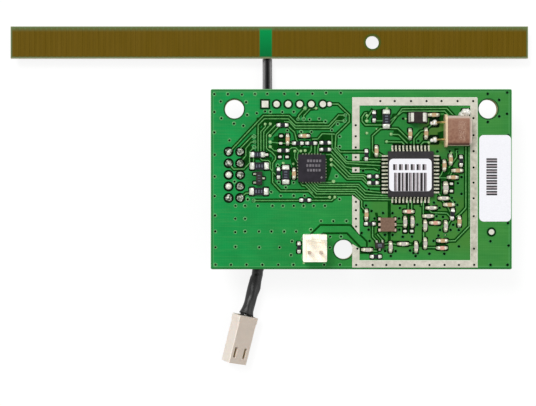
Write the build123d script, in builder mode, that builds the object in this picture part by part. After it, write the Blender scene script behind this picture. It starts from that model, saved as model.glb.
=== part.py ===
"""Alarm radio module: a circuit board on its socket, with a dipole antenna strip on a coaxial lead.

Millimetres. +Z is up, +X runs along the antenna strip and +Y goes from the board to the strip.
The origin is the middle of the board and strip together, on the surface that they lie on.
"""

import os
from math import cos, pi, radians, sin, tan

from build123d import *

# Antenna strip
strip_length = 117.0
strip_width = 7.2
strip_thickness = 1.0
strip_hole_diameter = 3.0
strip_hole_x = 23.3
feed_gap = 2.7
feed_x = -0.8
winding_pitch = 1.2
winding_line = 0.75
winding_thickness = 0.05
winding_end_border = 0.6
winding_side_border = 0.35
winding_hole_border = 0.4

# Main board
board_length = 66.2
board_width = 39.6
board_thickness = 1.6
board_left = -12.9
board_corner = 0.4
board_to_strip = 7.7
hole_diameter = 4.2
hole_side_inset = 5.2
hole_end_inset = 4.35
front_hole_x = 29.2

# Pins, in through holes and in the two connectors
pin_pitch = 2.54
pin_width = 0.64
drill_diameter = 1.1
solder_pad_diameter = 1.7
small_round_sides = 10  # of drilled holes, joints and thin wires

# Socket under the board
socket_columns = 2
socket_rows = 5
socket_height = 8.5
socket_x = 5.21
socket_y = 20.76
socket_entry_depth = 6.0
socket_entry_width = 1.0
socket_lead_in = 0.3
socket_tail_rise = 0.45
joint_height = 0.75
joint_waist_height = 0.3
joint_waist_diameter = 1.25
joint_top_diameter = 0.8

# Row of solder-filled pads near the rear edge
spare_pad_count = 6
spare_pad_x = 11.95
spare_pad_y = 36.3
spare_pad_height = 0.12
lone_pad_x = 26.1
lone_pad_diameter = 1.0

# Tinned land for a shield can, and its breaks along the left bar
land_left = 31.1
land_right = 58.65
land_front = 0.4
land_back = 37.8
land_bar = 1.6
land_back_bar = 1.8
land_thickness = 0.1

# Labels
label_length = 19.0
label_width = 7.0
label_corner = 1.0
label_thickness = 0.1
label_x = 62.5
label_y = 20.0
chip_label_length = 9.7
chip_label_width = 7.1
chip_label_corner = 0.9
chip_label_shift = (-0.15, -0.2)

# Radio chip, with gull-wing leads on four sides
radio_x = 43.9
radio_y = 20.9
radio_side = 10.0
radio_thickness = 1.0
radio_standoff = 0.1
radio_bevel = 0.2
lead_pitch = 0.8
leads_per_side = 11
lead_width = 0.37
lead_thickness = 0.15
lead_shoulder = 0.25
lead_slope = 0.3
lead_foot = 0.75

# Controller chip, without leads
controller_x = 22.2
controller_y = 22.2
controller_side = 6.0
controller_thickness = 0.9
controller_pitch = 0.65
controller_pads_per_side = 7
controller_pad_width = 0.32
controller_pad_reach = 0.25
controller_pad_height = 0.2
pin_mark_diameter = 0.6
pin_mark_depth = 0.05
pin_mark_inset = 0.9

# Crystal, lying on its side
crystal_x = 51.2
crystal_y = 30.35
crystal_length = 5.4
crystal_width = 6.6
crystal_thickness = 2.3
crystal_base_length = 0.5
crystal_base_rim = 0.3
crystal_roundness = 0.45  # of its thickness, at each long edge
crystal_end_chamfer = 0.6
crystal_lead_pitch = 3.75
crystal_lead_diameter = 0.43
crystal_lead_reach = 2.5
crystal_lead_straight = 0.6
crystal_lead_foot = 0.9
crystal_solder_diameter = 1.7
crystal_solder_height = 0.8
ground_solder_along = 4.4
ground_solder_diameter = 1.8
ground_solder_off = 0.35  # of its diameter, from the can's side
dab_shoulder = (0.6, 0.8)  # of its height and its diameter
dab_top = 0.3  # of its diameter

# Ceramic filter
filter_x = 38.8
filter_y = 9.85
filter_side = 3.0
filter_thickness = 1.1
filter_pad_pitch = 1.2
filter_pad_width = 0.6
filter_pad_reach = 0.45
filter_pad_height = 0.35

# Moulded inductor
choke_x = 45.4
choke_y = 33.3
choke_length = 3.2
choke_width = 2.5
choke_height = 2.0
choke_bevel = 0.15
choke_end_thickness = 0.4
choke_end_width = 2.0

# Transistors: body length, width and height, lead pitch, lead reach, then x, y and turn of each
transistor_sizes = {
    "large": (2.9, 1.35, 1.0, 0.95, 0.6),
    "small": (2.0, 1.25, 0.9, 0.65, 0.5),
}
transistor_places = {
    "large": (10.65, 20.0, -90.0),
    "small": (37.1, 5.25, 180.0),
}
transistor_bevel = 0.12
transistor_lead_width = 0.4
transistor_lead_thickness = 0.13
transistor_lead_parts = (0.3, 0.25, 0.45)  # of its reach: level, sloping, and on the board

# Two-ended chips: length, width, height and the length of each metal end
chip_3216 = (3.2, 1.6, 0.6, 0.5)
chip_2012 = (2.3, 1.2, 0.6, 0.45)
chip_1608 = (1.6, 0.8, 0.5, 0.3)
tall_chip_1608 = (1.6, 0.8, 0.8, 0.35)
wide_chip_1608 = (1.8, 1.1, 0.8, 0.4)
solder_reach = 0.4
solder_climb = 0.6

# Places of the two-ended chips on the board: x, y and turn
large_resistor_places = [
    (10.7, 22.7, 0),
    (10.6, 17.1, 0),
    (16.5, 20.8, 90),
    (38.6, 33.0, 90),
]
medium_resistor_places = [(10.3, 25.2, 0)]
resistor_places = [
    (15.8, 31.7, 0),
    (19.2, 27.7, 0),
    (22.1, 27.7, 0),
    (16.0, 26.1, 0),
    (25.2, 27.8, 0),
    (25.2, 26.3, 0),
    (20.8, 15.2, 0),
    (35.7, 20.4, 0),
    (35.7, 19.0, 0),
    (35.0, 10.0, 0),
    (36.3, 2.8, 0),
    (35.9, 33.6, 90),
    (34.2, 25.1, 90),
    (55.0, 23.8, 90),
    (53.1, 12.1, 84),
    (19.4, 4.8, 90),
    (14.9, 21.1, 90),
]
capacitor_places = [
    (16.9, 28.5, 90),
    (36.4, 26.0, 90),
    (43.8, 29.7, 90),
    (47.3, 29.8, 90),
    (52.7, 24.1, 90),
    (51.3, 22.8, 90),
    (34.2, 12.0, 90),
    (54.6, 10.5, 90),
    (18.3, 21.0, 90),
    (20.6, 29.3, 0),
    (49.0, 33.9, 0),
    (54.2, 21.7, 0),
    (53.2, 20.2, 0),
    (52.4, 14.2, 0),
    (50.9, 6.3, 0),
]
pale_capacitor_places = [
    (42.7, 10.4, 90),
    (44.3, 10.4, 90),
    (47.1, 9.6, 90),
    (47.1, 5.7, 90),
    (51.6, 9.5, 90),
    (39.5, 4.9, 90),
    (45.1, 4.9, 90),
    (51.2, 15.6, 0),
    (48.5, 13.5, 0),
    (47.8, 11.7, 0),
    (42.3, 5.6, 0),
    (34.4, 4.3, 0),
]
wide_capacitor_places = [(51.6, 17.9, 90)]
rf_coil_places = [
    (43.5, 12.7, 0),
    (49.3, 10.2, 0),
    (50.8, 4.7, 0),
]

# Empty tinned pads on the board: x and y
tinned_pad_places = [
    (15.5, 29.3),
    (15.4, 27.7),
    (15.2, 24.7),
    (16.8, 24.7),
    (52.9, 18.8),
    (52.9, 17.2),
    (42.7, 8.4),
    (44.2, 8.4),
    (12.3, 25.2),
]
tinned_pad_side = 0.8
test_pad_x = 61.7
test_pad_y = 8.2
test_pad_diameter = 1.5
tinned_pad_height = 0.08

# Header for the lead's plug
header_x = 22.8
header_y = 4.75
header_width = 5.2
header_depth = 6.0
header_base_height = 3.2
header_wall_height = 7.4
header_wall_thickness = 1.0
header_recess = 0.5
header_rim = 0.6
header_notch_width = 1.8
header_notch_depth = 4.0
header_corner = 0.3
header_pin_y = -0.85
header_pin_height = 6.6
header_tail = 1.3
header_pin_point = 0.13

# Lead: a coaxial cable with a shrunk sleeve over its end
lead_diameter = 2.2
sleeve_diameter = 2.7
sleeve_end_diameter = 3.3
sleeve_start = 0.72
sleeve_flare_length = 1.0
sleeve_flare_step = 0.04
wire_diameter = 0.9
wire_offset = 0.95
wire_overlap = 0.85
braid_diameter = 1.7
braid_length = 2.2
dielectric_diameter = 1.2
dielectric_length = 1.3
core_diameter = 0.5
core_length = 1.6
feed_solder_width = 2.4
feed_solder_height = 0.9
feed_solder_cover = 0.8  # of what it holds
feed_solder_taper = 20

# Route of the lead from the strip's front edge, first bare and then in its sleeve: x, y and z
bare_route = [
    (-0.45, 20.05, 1.1),
    (-0.4, 4.5, 1.1),
    (-0.95, -13.4, 1.25),
]
sleeved_route = [
    (-2.25, -26.6, 1.4),
    (-3.65, -32.7, 1.65),
    (-5.1, -37.5, 2.5),
]

arc_share = 0.45  # of the shorter run beside a corner, that its arc takes up

# Plug on the lead's end
plug_width = 4.9
plug_thickness = 3.2
plug_length = 10.9
plug_rear = (-5.4, -38.15)
plug_heading = 14.0
plug_roll = 34.0
plug_corner = 0.25
plug_collar_length = 1.4
plug_collar = 0.15
plug_cavity_width = 1.7
plug_cavity_height = 1.9
plug_mouth_width = 1.0
plug_mouth_depth = 1.2
window_length = 2.4
window_width = 0.75
window_to_end = 2.5
contact_length = 7.5
contact_wall = 0.25
crimp_length = 1.5

# Heights and edges that follow from the sizes above
board_under = socket_height
board_top = board_under + board_thickness
board_front = -(board_width + board_to_strip + strip_width) / 2
board_back = board_front + board_width
strip_front = board_back + board_to_strip
strip_y = strip_front + strip_width / 2
strip_under = lead_diameter / 2 + braid_diameter / 2
strip_top = strip_under + strip_thickness
route = bare_route + sleeved_route


def spot(x, y, turn=0.0, height=0.0):
    """A place on the board's upper face, measured from its front left corner."""
    return Location((board_left + x, board_front + y, board_top + height), (0, 0, turn))


def on_board(x, y, turn=0.0, height=0.0):
    """The same place as a plane to draw on."""
    return Plane(spot(x, y, turn, height))


# Mounting holes and drilled places, x and y from the board's front left corner
mounting_holes = [
    (hole_side_inset, board_width - hole_end_inset),
    (board_length - hole_side_inset, board_width - hole_end_inset),
    (front_hole_x, hole_end_inset),
]
socket_pins = [
    (socket_x + (column - (socket_columns - 1) / 2) * pin_pitch,
     socket_y + (row - (socket_rows - 1) / 2) * pin_pitch)
    for column in range(socket_columns)
    for row in range(socket_rows)
]
spare_pads = [(spare_pad_x + n * pin_pitch, spare_pad_y) for n in range(spare_pad_count)]
header_pin_places = [
    (header_x + side * pin_pitch / 2, header_y + header_pin_y) for side in (-1, 1)
]


# Main board, drilled for its mounting holes and for every pin
with BuildPart() as circuit_board:
    with BuildSketch(on_board(board_length / 2, board_width / 2)):
        RectangleRounded(board_length, board_width, board_corner)
    extrude(amount=-board_thickness)
    with Locations(*[spot(x, y) for x, y in mounting_holes]):
        Hole(hole_diameter / 2)
    with BuildSketch(on_board(0, 0)):
        with Locations(*(socket_pins + spare_pads + header_pin_places)):
            RegularPolygon(drill_diameter / 2, small_round_sides)
    extrude(amount=-board_thickness, mode=Mode.SUBTRACT)


# Land for a shield can: a frame whose left bar is cut into islands by crossing tracks
land_breaks = [
    ((25.3, 26.4), (25.3, 26.4)),
    ((22.4, 23.9), (22.4, 23.9)),
    ((16.3, 21.3), (15.1, 21.3)),
    ((5.6, 9.7), (4.6, 7.6)),
]

with BuildPart() as shield_land:
    with BuildSketch(on_board(0, 0)):
        with Locations(((land_left + land_right) / 2, (land_front + land_back) / 2)):
            Rectangle(land_right - land_left, land_back - land_front)
        inner_front = land_front + land_bar
        inner_back = land_back - land_back_bar
        with Locations(((land_left + land_right) / 2, (inner_front + inner_back) / 2)):
            Rectangle(
                land_right - land_left - 2 * land_bar,
                inner_back - inner_front,
                mode=Mode.SUBTRACT,
            )
        for (left_low, left_high), (right_low, right_high) in land_breaks:
            with BuildLine():
                Polyline(
                    (land_left - land_bar, left_low),
                    (land_left, left_low),
                    (land_left + land_bar, right_low),
                    (land_left + land_bar, right_high),
                    (land_left, left_high),
                    (land_left - land_bar, left_high),
                    close=True,
                )
            make_face(mode=Mode.SUBTRACT)
    extrude(amount=land_thickness)


with BuildPart() as board_label:
    with BuildSketch(on_board(label_x, label_y)):
        RectangleRounded(label_width, label_length, label_corner)
    extrude(amount=label_thickness)


# Radio chip: moulded body, bent leads and a paper label
radio_top = radio_standoff + radio_thickness

with BuildPart() as radio_chip_body:
    with BuildSketch(on_board(radio_x, radio_y, height=radio_standoff)):
        Rectangle(radio_side, radio_side)
    extrude(amount=radio_thickness)
    chamfer(radio_chip_body.faces().sort_by(Axis.Z)[-1].edges(), length=radio_bevel)


def gull_wing(shoulder, slope, foot, thickness, width, height):
    """One bent lead, from the body's side at x = 0 down to its foot on the board."""
    with BuildPart() as lead:
        with BuildSketch(Plane.XZ):
            with BuildLine():
                Polyline(
                    (0, height + thickness / 2),
                    (shoulder, height + thickness / 2),
                    (shoulder + slope, thickness),
                    (shoulder + slope + foot, thickness),
                    (shoulder + slope + foot, 0),
                    (shoulder + slope - thickness / 2, 0),
                    (shoulder - thickness / 2, height - thickness / 2),
                    (0, height - thickness / 2),
                    close=True,
                )
            make_face()
        extrude(amount=width / 2, both=True)
    return lead.part


radio_lead = gull_wing(
    lead_shoulder, lead_slope, lead_foot, lead_thickness, lead_width,
    radio_standoff + radio_thickness / 2,
)

with BuildPart() as radio_chip_leads:
    for turn in (0, 90, 180, 270):
        side = spot(radio_x, radio_y, turn)
        steps = [(n - (leads_per_side - 1) / 2) * lead_pitch for n in range(leads_per_side)]
        with Locations(*[side * Location((radio_side / 2, step, 0)) for step in steps]):
            add(radio_lead)

with BuildPart() as radio_chip_label:
    with BuildSketch(on_board(radio_x, radio_y, height=radio_top)):
        with Locations(chip_label_shift):
            RectangleRounded(chip_label_length - 2 * radio_bevel, chip_label_width, chip_label_corner)
    extrude(amount=label_thickness)


# Controller chip: a flat body with its pads at the edge
with BuildPart() as controller_chip_body:
    with BuildSketch(on_board(controller_x, controller_y)):
        Rectangle(controller_side, controller_side)
    extrude(amount=controller_thickness)
    mark = controller_side / 2 - pin_mark_inset
    with BuildSketch(on_board(controller_x, controller_y, height=controller_thickness)):
        with Locations((mark, -mark)):
            Circle(pin_mark_diameter / 2)
    extrude(amount=-pin_mark_depth, mode=Mode.SUBTRACT)

with BuildPart() as controller_chip_pads:
    for turn in (0, 90, 180, 270):
        with BuildSketch(on_board(controller_x, controller_y, turn)):
            with Locations((controller_side / 2 + controller_pad_reach / 2, 0)):
                with GridLocations(0, controller_pitch, 1, controller_pads_per_side):
                    Rectangle(controller_pad_reach, controller_pad_width)
    extrude(amount=controller_pad_height)


# Crystal: a drawn can welded to its base, two bent leads and three dabs of solder
crystal_base_thickness = crystal_thickness + 2 * crystal_base_rim
crystal_middle = crystal_base_thickness / 2
crystal_can_x = crystal_x + crystal_base_length


def across(x, y, height):
    """A plane that stands on the board and faces +X."""
    return Plane(
        (board_left + x, board_front + y, board_top + height), x_dir=(0, 1, 0), z_dir=(1, 0, 0)
    )


with BuildPart() as crystal_can:
    with BuildSketch(across(crystal_can_x, crystal_y, crystal_middle)):
        RectangleRounded(crystal_width, crystal_thickness, crystal_thickness * crystal_roundness)
    extrude(amount=crystal_length)
    chamfer(crystal_can.faces().sort_by(Axis.X)[-1].edges(), length=crystal_end_chamfer)

with BuildPart() as crystal_base:
    with BuildSketch(across(crystal_x, crystal_y, crystal_middle)):
        RectangleRounded(
            crystal_width + 2 * crystal_base_rim,
            crystal_base_thickness,
            crystal_base_thickness * crystal_roundness,
        )
    extrude(amount=crystal_base_length)

lead_drop = crystal_middle - crystal_lead_diameter / 2
lead_bend = crystal_lead_reach - crystal_lead_straight - crystal_lead_foot

with BuildPart() as crystal_leads:
    for side in (-1, 1):
        start = across(crystal_x, crystal_y + side * crystal_lead_pitch / 2, crystal_middle)
        with BuildLine(start) as wire_line:
            Polyline(
                (0, 0, 0),
                (0, 0, -crystal_lead_straight),
                (0, -lead_drop, -crystal_lead_straight - lead_bend),
                (0, -lead_drop, -crystal_lead_reach),
            )
        with BuildSketch(start):
            RegularPolygon(crystal_lead_diameter / 2, small_round_sides)
        sweep(path=wire_line.wires()[0], transition=Transition.RIGHT)


def mound(*sections):
    """A heap of solder on z = 0, through polygons given by their height and diameter."""
    with BuildPart() as heap:
        for height, diameter in sections:
            with BuildSketch(Plane.XY.offset(height)):
                RegularPolygon(diameter / 2, small_round_sides)
        loft(ruled=True)
    return heap.part


def dab(diameter, height):
    """A low heap with a narrow top."""
    shoulder = (height * dab_shoulder[0], diameter * dab_shoulder[1])
    return mound((0, diameter), shoulder, (height, diameter * dab_top))


foot_x = crystal_x - crystal_lead_reach + crystal_lead_foot / 2
lead_dab = dab(crystal_solder_diameter, crystal_solder_height)
ground_dab = dab(ground_solder_diameter, crystal_solder_height)
ground_solder_x = crystal_can_x + ground_solder_along
ground_solder_y = crystal_y + crystal_width / 2 + ground_solder_diameter * ground_solder_off

with BuildPart() as crystal_solder:
    with Locations(*[spot(foot_x, crystal_y + side * crystal_lead_pitch / 2) for side in (-1, 1)]):
        add(lead_dab)
    with Locations(spot(ground_solder_x, ground_solder_y)):
        add(ground_dab)
    add(crystal_leads.part, mode=Mode.SUBTRACT)
    add(crystal_can.part, mode=Mode.SUBTRACT)


# Ceramic filter with three gold pads on each side
with BuildPart() as saw_filter_body:
    with BuildSketch(on_board(filter_x, filter_y)):
        Rectangle(filter_side, filter_side)
    extrude(amount=filter_thickness)

with BuildPart() as saw_filter_pads:
    for turn in (0, 180):
        with BuildSketch(on_board(filter_x, filter_y, turn)):
            with Locations((filter_side / 2 + filter_pad_reach / 2, 0)):
                with GridLocations(0, filter_pad_pitch, 1, 3):
                    Rectangle(filter_pad_reach, filter_pad_width)
    extrude(amount=filter_pad_height)


# Moulded inductor with a metal strap down each end
with BuildPart() as choke_body:
    with BuildSketch(on_board(choke_x, choke_y)):
        Rectangle(choke_length, choke_width)
    extrude(amount=choke_height)
    chamfer(choke_body.faces().sort_by(Axis.Z)[-1].edges(), length=choke_bevel)

with BuildPart() as choke_ends:
    for turn in (0, 180):
        with BuildSketch(on_board(choke_x, choke_y, turn)):
            with Locations(((choke_length + choke_end_thickness) / 2, 0)):
                Rectangle(choke_end_thickness, choke_end_width)
    extrude(amount=choke_height / 2)


# Transistors: one lead on one long side and two on the other
def transistor_spot(name):
    x, y, turn = transistor_places[name]
    return spot(x, y, turn)


with BuildPart() as transistor_bodies:
    for name, (length, width, height, pitch, reach) in transistor_sizes.items():
        with BuildSketch(Plane(transistor_spot(name))):
            Rectangle(length, width)
        extrude(amount=height)
    tops = transistor_bodies.faces().filter_by(lambda face: face.normal_at().Z > 0.9)
    chamfer(tops.edges(), length=transistor_bevel)

with BuildPart() as transistor_leads:
    for name, (length, width, height, pitch, reach) in transistor_sizes.items():
        wing = gull_wing(
            *[reach * share for share in transistor_lead_parts],
            transistor_lead_thickness, transistor_lead_width, height / 2,
        )
        here = transistor_spot(name)
        pair = [here * Location((step * pitch, -width / 2, 0), (0, 0, -90)) for step in (-1, 1)]
        single = here * Location((0, width / 2, 0), (0, 0, 90))
        with Locations(*pair, single):
            add(wing)


# Two-ended chips: a ceramic body between metal ends with a slope of solder outside each
def chip_bodies(groups):
    with BuildPart() as bodies:
        for places, (length, width, height, end) in groups:
            with BuildSketch(on_board(0, 0)):
                with Locations(*[Location((x, y, 0), (0, 0, turn)) for x, y, turn in places]):
                    Rectangle(length - 2 * end, width)
            extrude(amount=height)
    return bodies


def chip_end(length, width, height, end):
    """One metal end with its solder, on the +X side of a chip at the origin."""
    with BuildPart() as cap:
        with BuildSketch(Plane.XZ):
            with BuildLine():
                Polyline(
                    (length / 2 - end, 0),
                    (length / 2 - end, height),
                    (length / 2, height),
                    (length / 2, height * solder_climb),
                    (length / 2 + solder_reach, 0),
                    close=True,
                )
            make_face()
        extrude(amount=width / 2, both=True)
    return cap.part


def chip_ends(groups):
    with BuildPart() as ends:
        for places, size in groups:
            cap = chip_end(*size)
            both = [spot(x, y, turn + half) for x, y, turn in places for half in (0, 180)]
            with Locations(*both):
                add(cap)
    return ends


large_resistor_groups = [
    (large_resistor_places, chip_3216),
    (medium_resistor_places, chip_2012),
]
resistor_groups = [(resistor_places, chip_1608)]
capacitor_groups = [(capacitor_places, tall_chip_1608)]
pale_capacitor_groups = [
    (pale_capacitor_places, tall_chip_1608),
    (wide_capacitor_places, wide_chip_1608),
]
rf_coil_groups = [(rf_coil_places, tall_chip_1608)]

large_resistor_bodies = chip_bodies(large_resistor_groups)
large_resistor_ends = chip_ends(large_resistor_groups)
resistor_bodies = chip_bodies(resistor_groups)
resistor_ends = chip_ends(resistor_groups)
capacitor_bodies = chip_bodies(capacitor_groups)
capacitor_ends = chip_ends(capacitor_groups)
pale_capacitor_bodies = chip_bodies(pale_capacitor_groups)
pale_capacitor_ends = chip_ends(pale_capacitor_groups)
rf_coil_bodies = chip_bodies(rf_coil_groups)
rf_coil_ends = chip_ends(rf_coil_groups)


# Tinned pads that carry nothing
with BuildPart() as tinned_pads:
    with BuildSketch(on_board(0, 0)):
        with Locations(*tinned_pad_places):
            Rectangle(tinned_pad_side, tinned_pad_side)
        with Locations((test_pad_x, test_pad_y)):
            RegularPolygon(test_pad_diameter / 2, small_round_sides)
    extrude(amount=tinned_pad_height)

with BuildPart() as spare_row_pads:
    with BuildSketch(on_board(0, 0)):
        with Locations(spare_pads[0]):
            Rectangle(solder_pad_diameter, solder_pad_diameter)
        with Locations(*spare_pads[1:]):
            RegularPolygon(solder_pad_diameter / 2, small_round_sides)
        with Locations((lone_pad_x, spare_pad_y)):
            RegularPolygon(lone_pad_diameter / 2, small_round_sides)
    extrude(amount=spare_pad_height)
    with BuildSketch(on_board(0, 0)):
        with Locations(*spare_pads):
            RegularPolygon(drill_diameter / 2, small_round_sides)
    extrude(amount=-board_thickness)


# Socket under the board: a housing with ten entries, its contacts and their solder
with BuildPart() as socket_body:
    with BuildSketch(Plane.XY):
        with Locations((board_left + socket_x, board_front + socket_y)):
            Rectangle(socket_columns * pin_pitch, socket_rows * pin_pitch)
            with GridLocations(pin_pitch, pin_pitch, socket_columns, socket_rows):
                Rectangle(socket_entry_width, socket_entry_width, mode=Mode.SUBTRACT)
    extrude(amount=socket_height)
    entries = socket_body.faces().sort_by(Axis.Z)[0].inner_wires()
    chamfer([edge for entry in entries for edge in entry.edges()], length=socket_lead_in)

with BuildPart() as socket_contacts:
    with BuildSketch(Plane.XY.offset(socket_entry_depth)):
        with Locations((board_left + socket_x, board_front + socket_y)):
            with GridLocations(pin_pitch, pin_pitch, socket_columns, socket_rows):
                Rectangle(socket_entry_width, socket_entry_width)
    extrude(amount=socket_height - socket_entry_depth)
    with BuildSketch(on_board(0, 0, height=-board_thickness)):
        with Locations(*socket_pins):
            Rectangle(pin_width, pin_width)
    extrude(amount=board_thickness + socket_tail_rise)


# A joint has hollow sides, and it covers the end of its pin
solder_joint = mound(
    (0, solder_pad_diameter),
    (joint_waist_height, joint_waist_diameter),
    (joint_height, joint_top_diameter),
)

with BuildPart() as solder_joints:
    with Locations(*[spot(x, y) for x, y in socket_pins]):
        add(solder_joint)
    add(socket_contacts.part, mode=Mode.SUBTRACT)


# Header for the plug: a base with a shallow recess and a notched wall behind the pins
with BuildPart() as header_body:
    with BuildSketch(on_board(header_x, header_y)):
        RectangleRounded(header_width, header_depth, header_corner)
    extrude(amount=header_base_height)
    with BuildSketch(on_board(header_x, header_y, height=header_base_height)):
        with Locations((0, -header_wall_thickness / 2)):
            Rectangle(
                header_width - 2 * header_rim,
                header_depth - header_wall_thickness - 2 * header_rim,
            )
    extrude(amount=-header_recess, mode=Mode.SUBTRACT)
    with BuildSketch(on_board(header_x, header_y, height=header_base_height)):
        with Locations((0, (header_depth - header_wall_thickness) / 2)):
            Rectangle(header_width - 2 * header_corner, header_wall_thickness)
    extrude(amount=header_wall_height - header_base_height)
    with BuildSketch(on_board(header_x, header_y, height=header_wall_height)):
        with Locations((0, header_depth / 2)):
            Rectangle(header_notch_width, 2 * header_wall_thickness)
    extrude(amount=-header_notch_depth, mode=Mode.SUBTRACT)
    with BuildSketch(on_board(0, 0)):
        with Locations(*header_pin_places):
            Rectangle(pin_width, pin_width)
    extrude(amount=header_wall_height, mode=Mode.SUBTRACT)

with BuildPart() as header_pins:
    with BuildSketch(on_board(0, 0, height=-board_thickness - header_tail)):
        with Locations(*header_pin_places):
            Rectangle(pin_width, pin_width)
    extrude(amount=header_tail + board_thickness + header_pin_height)
    chamfer(header_pins.faces().sort_by(Axis.Z)[-2:].edges(), length=header_pin_point)

with BuildPart() as header_solder:
    flipped = [
        Location(spot(x, y, height=-board_thickness).position, (180, 0, 0))
        for x, y in header_pin_places
    ]
    with Locations(*flipped):
        add(solder_joint)
    add(header_pins.part, mode=Mode.SUBTRACT)


# Antenna strip and the copper lines of its winding
with BuildPart() as antenna_board:
    with BuildSketch(Plane((0, strip_y, strip_under))):
        Rectangle(strip_length, strip_width)
        with Locations((strip_hole_x, 0)):
            Circle(strip_hole_diameter / 2, mode=Mode.SUBTRACT)
    extrude(amount=strip_thickness)


def winding(inner, outer):
    """The lines of one arm, from the feed gap to the strip's end."""
    count = int(abs(outer - inner) / winding_pitch)
    with BuildPart() as lines:
        with BuildSketch(Plane((0, strip_y, strip_top))):
            with Locations(((inner + outer) / 2, 0)):
                with GridLocations(winding_pitch, 0, count, 1):
                    Rectangle(winding_line, strip_width - 2 * winding_side_border)
            with Locations((strip_hole_x, 0)):
                Circle(strip_hole_diameter / 2 + winding_hole_border, mode=Mode.SUBTRACT)
        extrude(amount=winding_thickness)
    return lines


winding_end = strip_length / 2 - winding_end_border
antenna_winding_left = winding(feed_x - feed_gap / 2, -winding_end)
antenna_winding_right = winding(feed_x + feed_gap / 2, winding_end)


# Lead: one tube along straight runs and the largest arcs that they allow
def bend_radii(points):
    """Radius at each corner: a share of the shorter run over the tangent of half the turn."""
    radii = []
    for before, here, after in zip(points, points[1:], points[2:]):
        arriving = Vector(*here) - Vector(*before)
        leaving = Vector(*after) - Vector(*here)
        half_turn = radians(arriving.get_angle(leaving)) / 2
        radii.append(arc_share * min(arriving.length, leaving.length) / tan(half_turn))
    return radii


radii = bend_radii(route)
print("bend radii, mm:", [round(radius, 1) for radius in radii])


def tube(points, corner_radii, diameter):
    """A round solid along straight runs joined by tangent arcs."""
    with BuildLine() as path:
        FilletPolyline(*points, radius=corner_radii)
    line = path.wires()[0]
    with BuildPart() as solid:
        with BuildSketch(Plane(origin=line @ 0, z_dir=line % 0)):
            Circle(diameter / 2)
        sweep(path=line)
    expected = line.length * pi * diameter**2 / 4
    print(f"tube {line.length:.2f} mm long, volume {solid.part.volume / expected:.4f} of the expected")
    return solid


coax_jacket = tube(route, radii, lead_diameter)

# The sleeve starts on the run before its own points, between that run's two arcs
run_start = Vector(*bare_route[-1])
run_end = Vector(*sleeved_route[0])
sleeve_route = [run_start + (run_end - run_start) * sleeve_start, *sleeved_route]
sleeve_radii = radii[len(bare_route) - 1 :]
sleeve_outside = tube(sleeve_route, sleeve_radii, sleeve_diameter)

flare_end = Vector(*route[-1])
flare_way = (flare_end - Vector(*route[-2])).normalized()
flare_plane = Plane(origin=flare_end - flare_way * sleeve_flare_length, z_dir=flare_way)

with BuildPart() as heat_shrink_sleeve:
    add(sleeve_outside.part)
    with BuildSketch(flare_plane):
        Circle(sleeve_diameter / 2 - sleeve_flare_step)
    with BuildSketch(flare_plane.offset(sleeve_flare_length)):
        Circle(sleeve_end_diameter / 2)
    loft()
    add(coax_jacket.part, mode=Mode.SUBTRACT)


# Stripped end of the lead under the strip, soldered to it
def rod(start_y, length, diameter):
    """A thin rod that runs on from the lead, under the strip."""
    middle = Plane((route[0][0], start_y, route[0][2]), x_dir=(1, 0, 0), z_dir=(0, 1, 0))
    with BuildPart() as solid:
        with BuildSketch(middle):
            RegularPolygon(diameter / 2, small_round_sides)
        extrude(amount=length)
    return solid


braid_end = strip_front + braid_length
dielectric_end = braid_end + dielectric_length
coax_braid = rod(strip_front, braid_length, braid_diameter)
coax_dielectric = rod(braid_end, dielectric_length, dielectric_diameter)
coax_core = rod(dielectric_end, core_length, core_diameter)

with BuildPart() as antenna_solder:
    for start_y, length in ((strip_front, braid_length), (dielectric_end, core_length)):
        with BuildSketch(Plane((route[0][0], start_y + length / 2, strip_under))):
            Rectangle(feed_solder_width, length * feed_solder_cover)
        extrude(amount=-feed_solder_height, taper=feed_solder_taper)
    add(coax_braid.part, mode=Mode.SUBTRACT)
    add(coax_core.part, mode=Mode.SUBTRACT)


# Plug: a moulded housing that lies on one lower edge, with two contacts behind its windows
roll = radians(plug_roll)
heading = radians(plug_heading)
plug_half_width = plug_width / 2 + plug_collar
plug_height = (
    (plug_half_width - plug_corner) * sin(roll)
    + (plug_thickness / 2 - plug_corner) * cos(roll)
    + plug_corner
)
plug_axis = Vector(-sin(heading), -cos(heading), 0)
plug_across = Vector(cos(heading) * cos(roll), -sin(heading) * cos(roll), -sin(roll))
plug_origin = Vector(plug_rear[0], plug_rear[1], plug_height)


def in_plug(along):
    """A plane across the plug, that far from its rear face; X is its width and +Y its windows' side."""
    return Plane(plug_origin + plug_axis * along, x_dir=plug_across, z_dir=plug_axis)


cavity_depth = plug_length - plug_mouth_depth
contact_start = cavity_depth - contact_length

with BuildPart() as plug_housing:
    with BuildSketch(in_plug(0)):
        RectangleRounded(plug_width, plug_thickness, plug_corner)
    extrude(amount=plug_length)
    with BuildSketch(in_plug(0)):
        RectangleRounded(2 * plug_half_width, plug_thickness, plug_corner)
    extrude(amount=plug_collar_length)
    with BuildSketch(in_plug(0)):
        with GridLocations(pin_pitch, 0, 2, 1):
            Rectangle(plug_cavity_width, plug_cavity_height)
    extrude(amount=cavity_depth, mode=Mode.SUBTRACT)
    with BuildSketch(in_plug(cavity_depth)):
        with GridLocations(pin_pitch, 0, 2, 1):
            Rectangle(plug_mouth_width, plug_mouth_width)
    extrude(amount=plug_mouth_depth, mode=Mode.SUBTRACT)
    with BuildSketch(in_plug(plug_length - window_to_end - window_length / 2)):
        with Locations((0, plug_thickness / 2)):
            with GridLocations(pin_pitch, 0, 2, 1):
                Rectangle(window_width, plug_thickness - plug_cavity_height)
    extrude(amount=window_length, mode=Mode.SUBTRACT)

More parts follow.
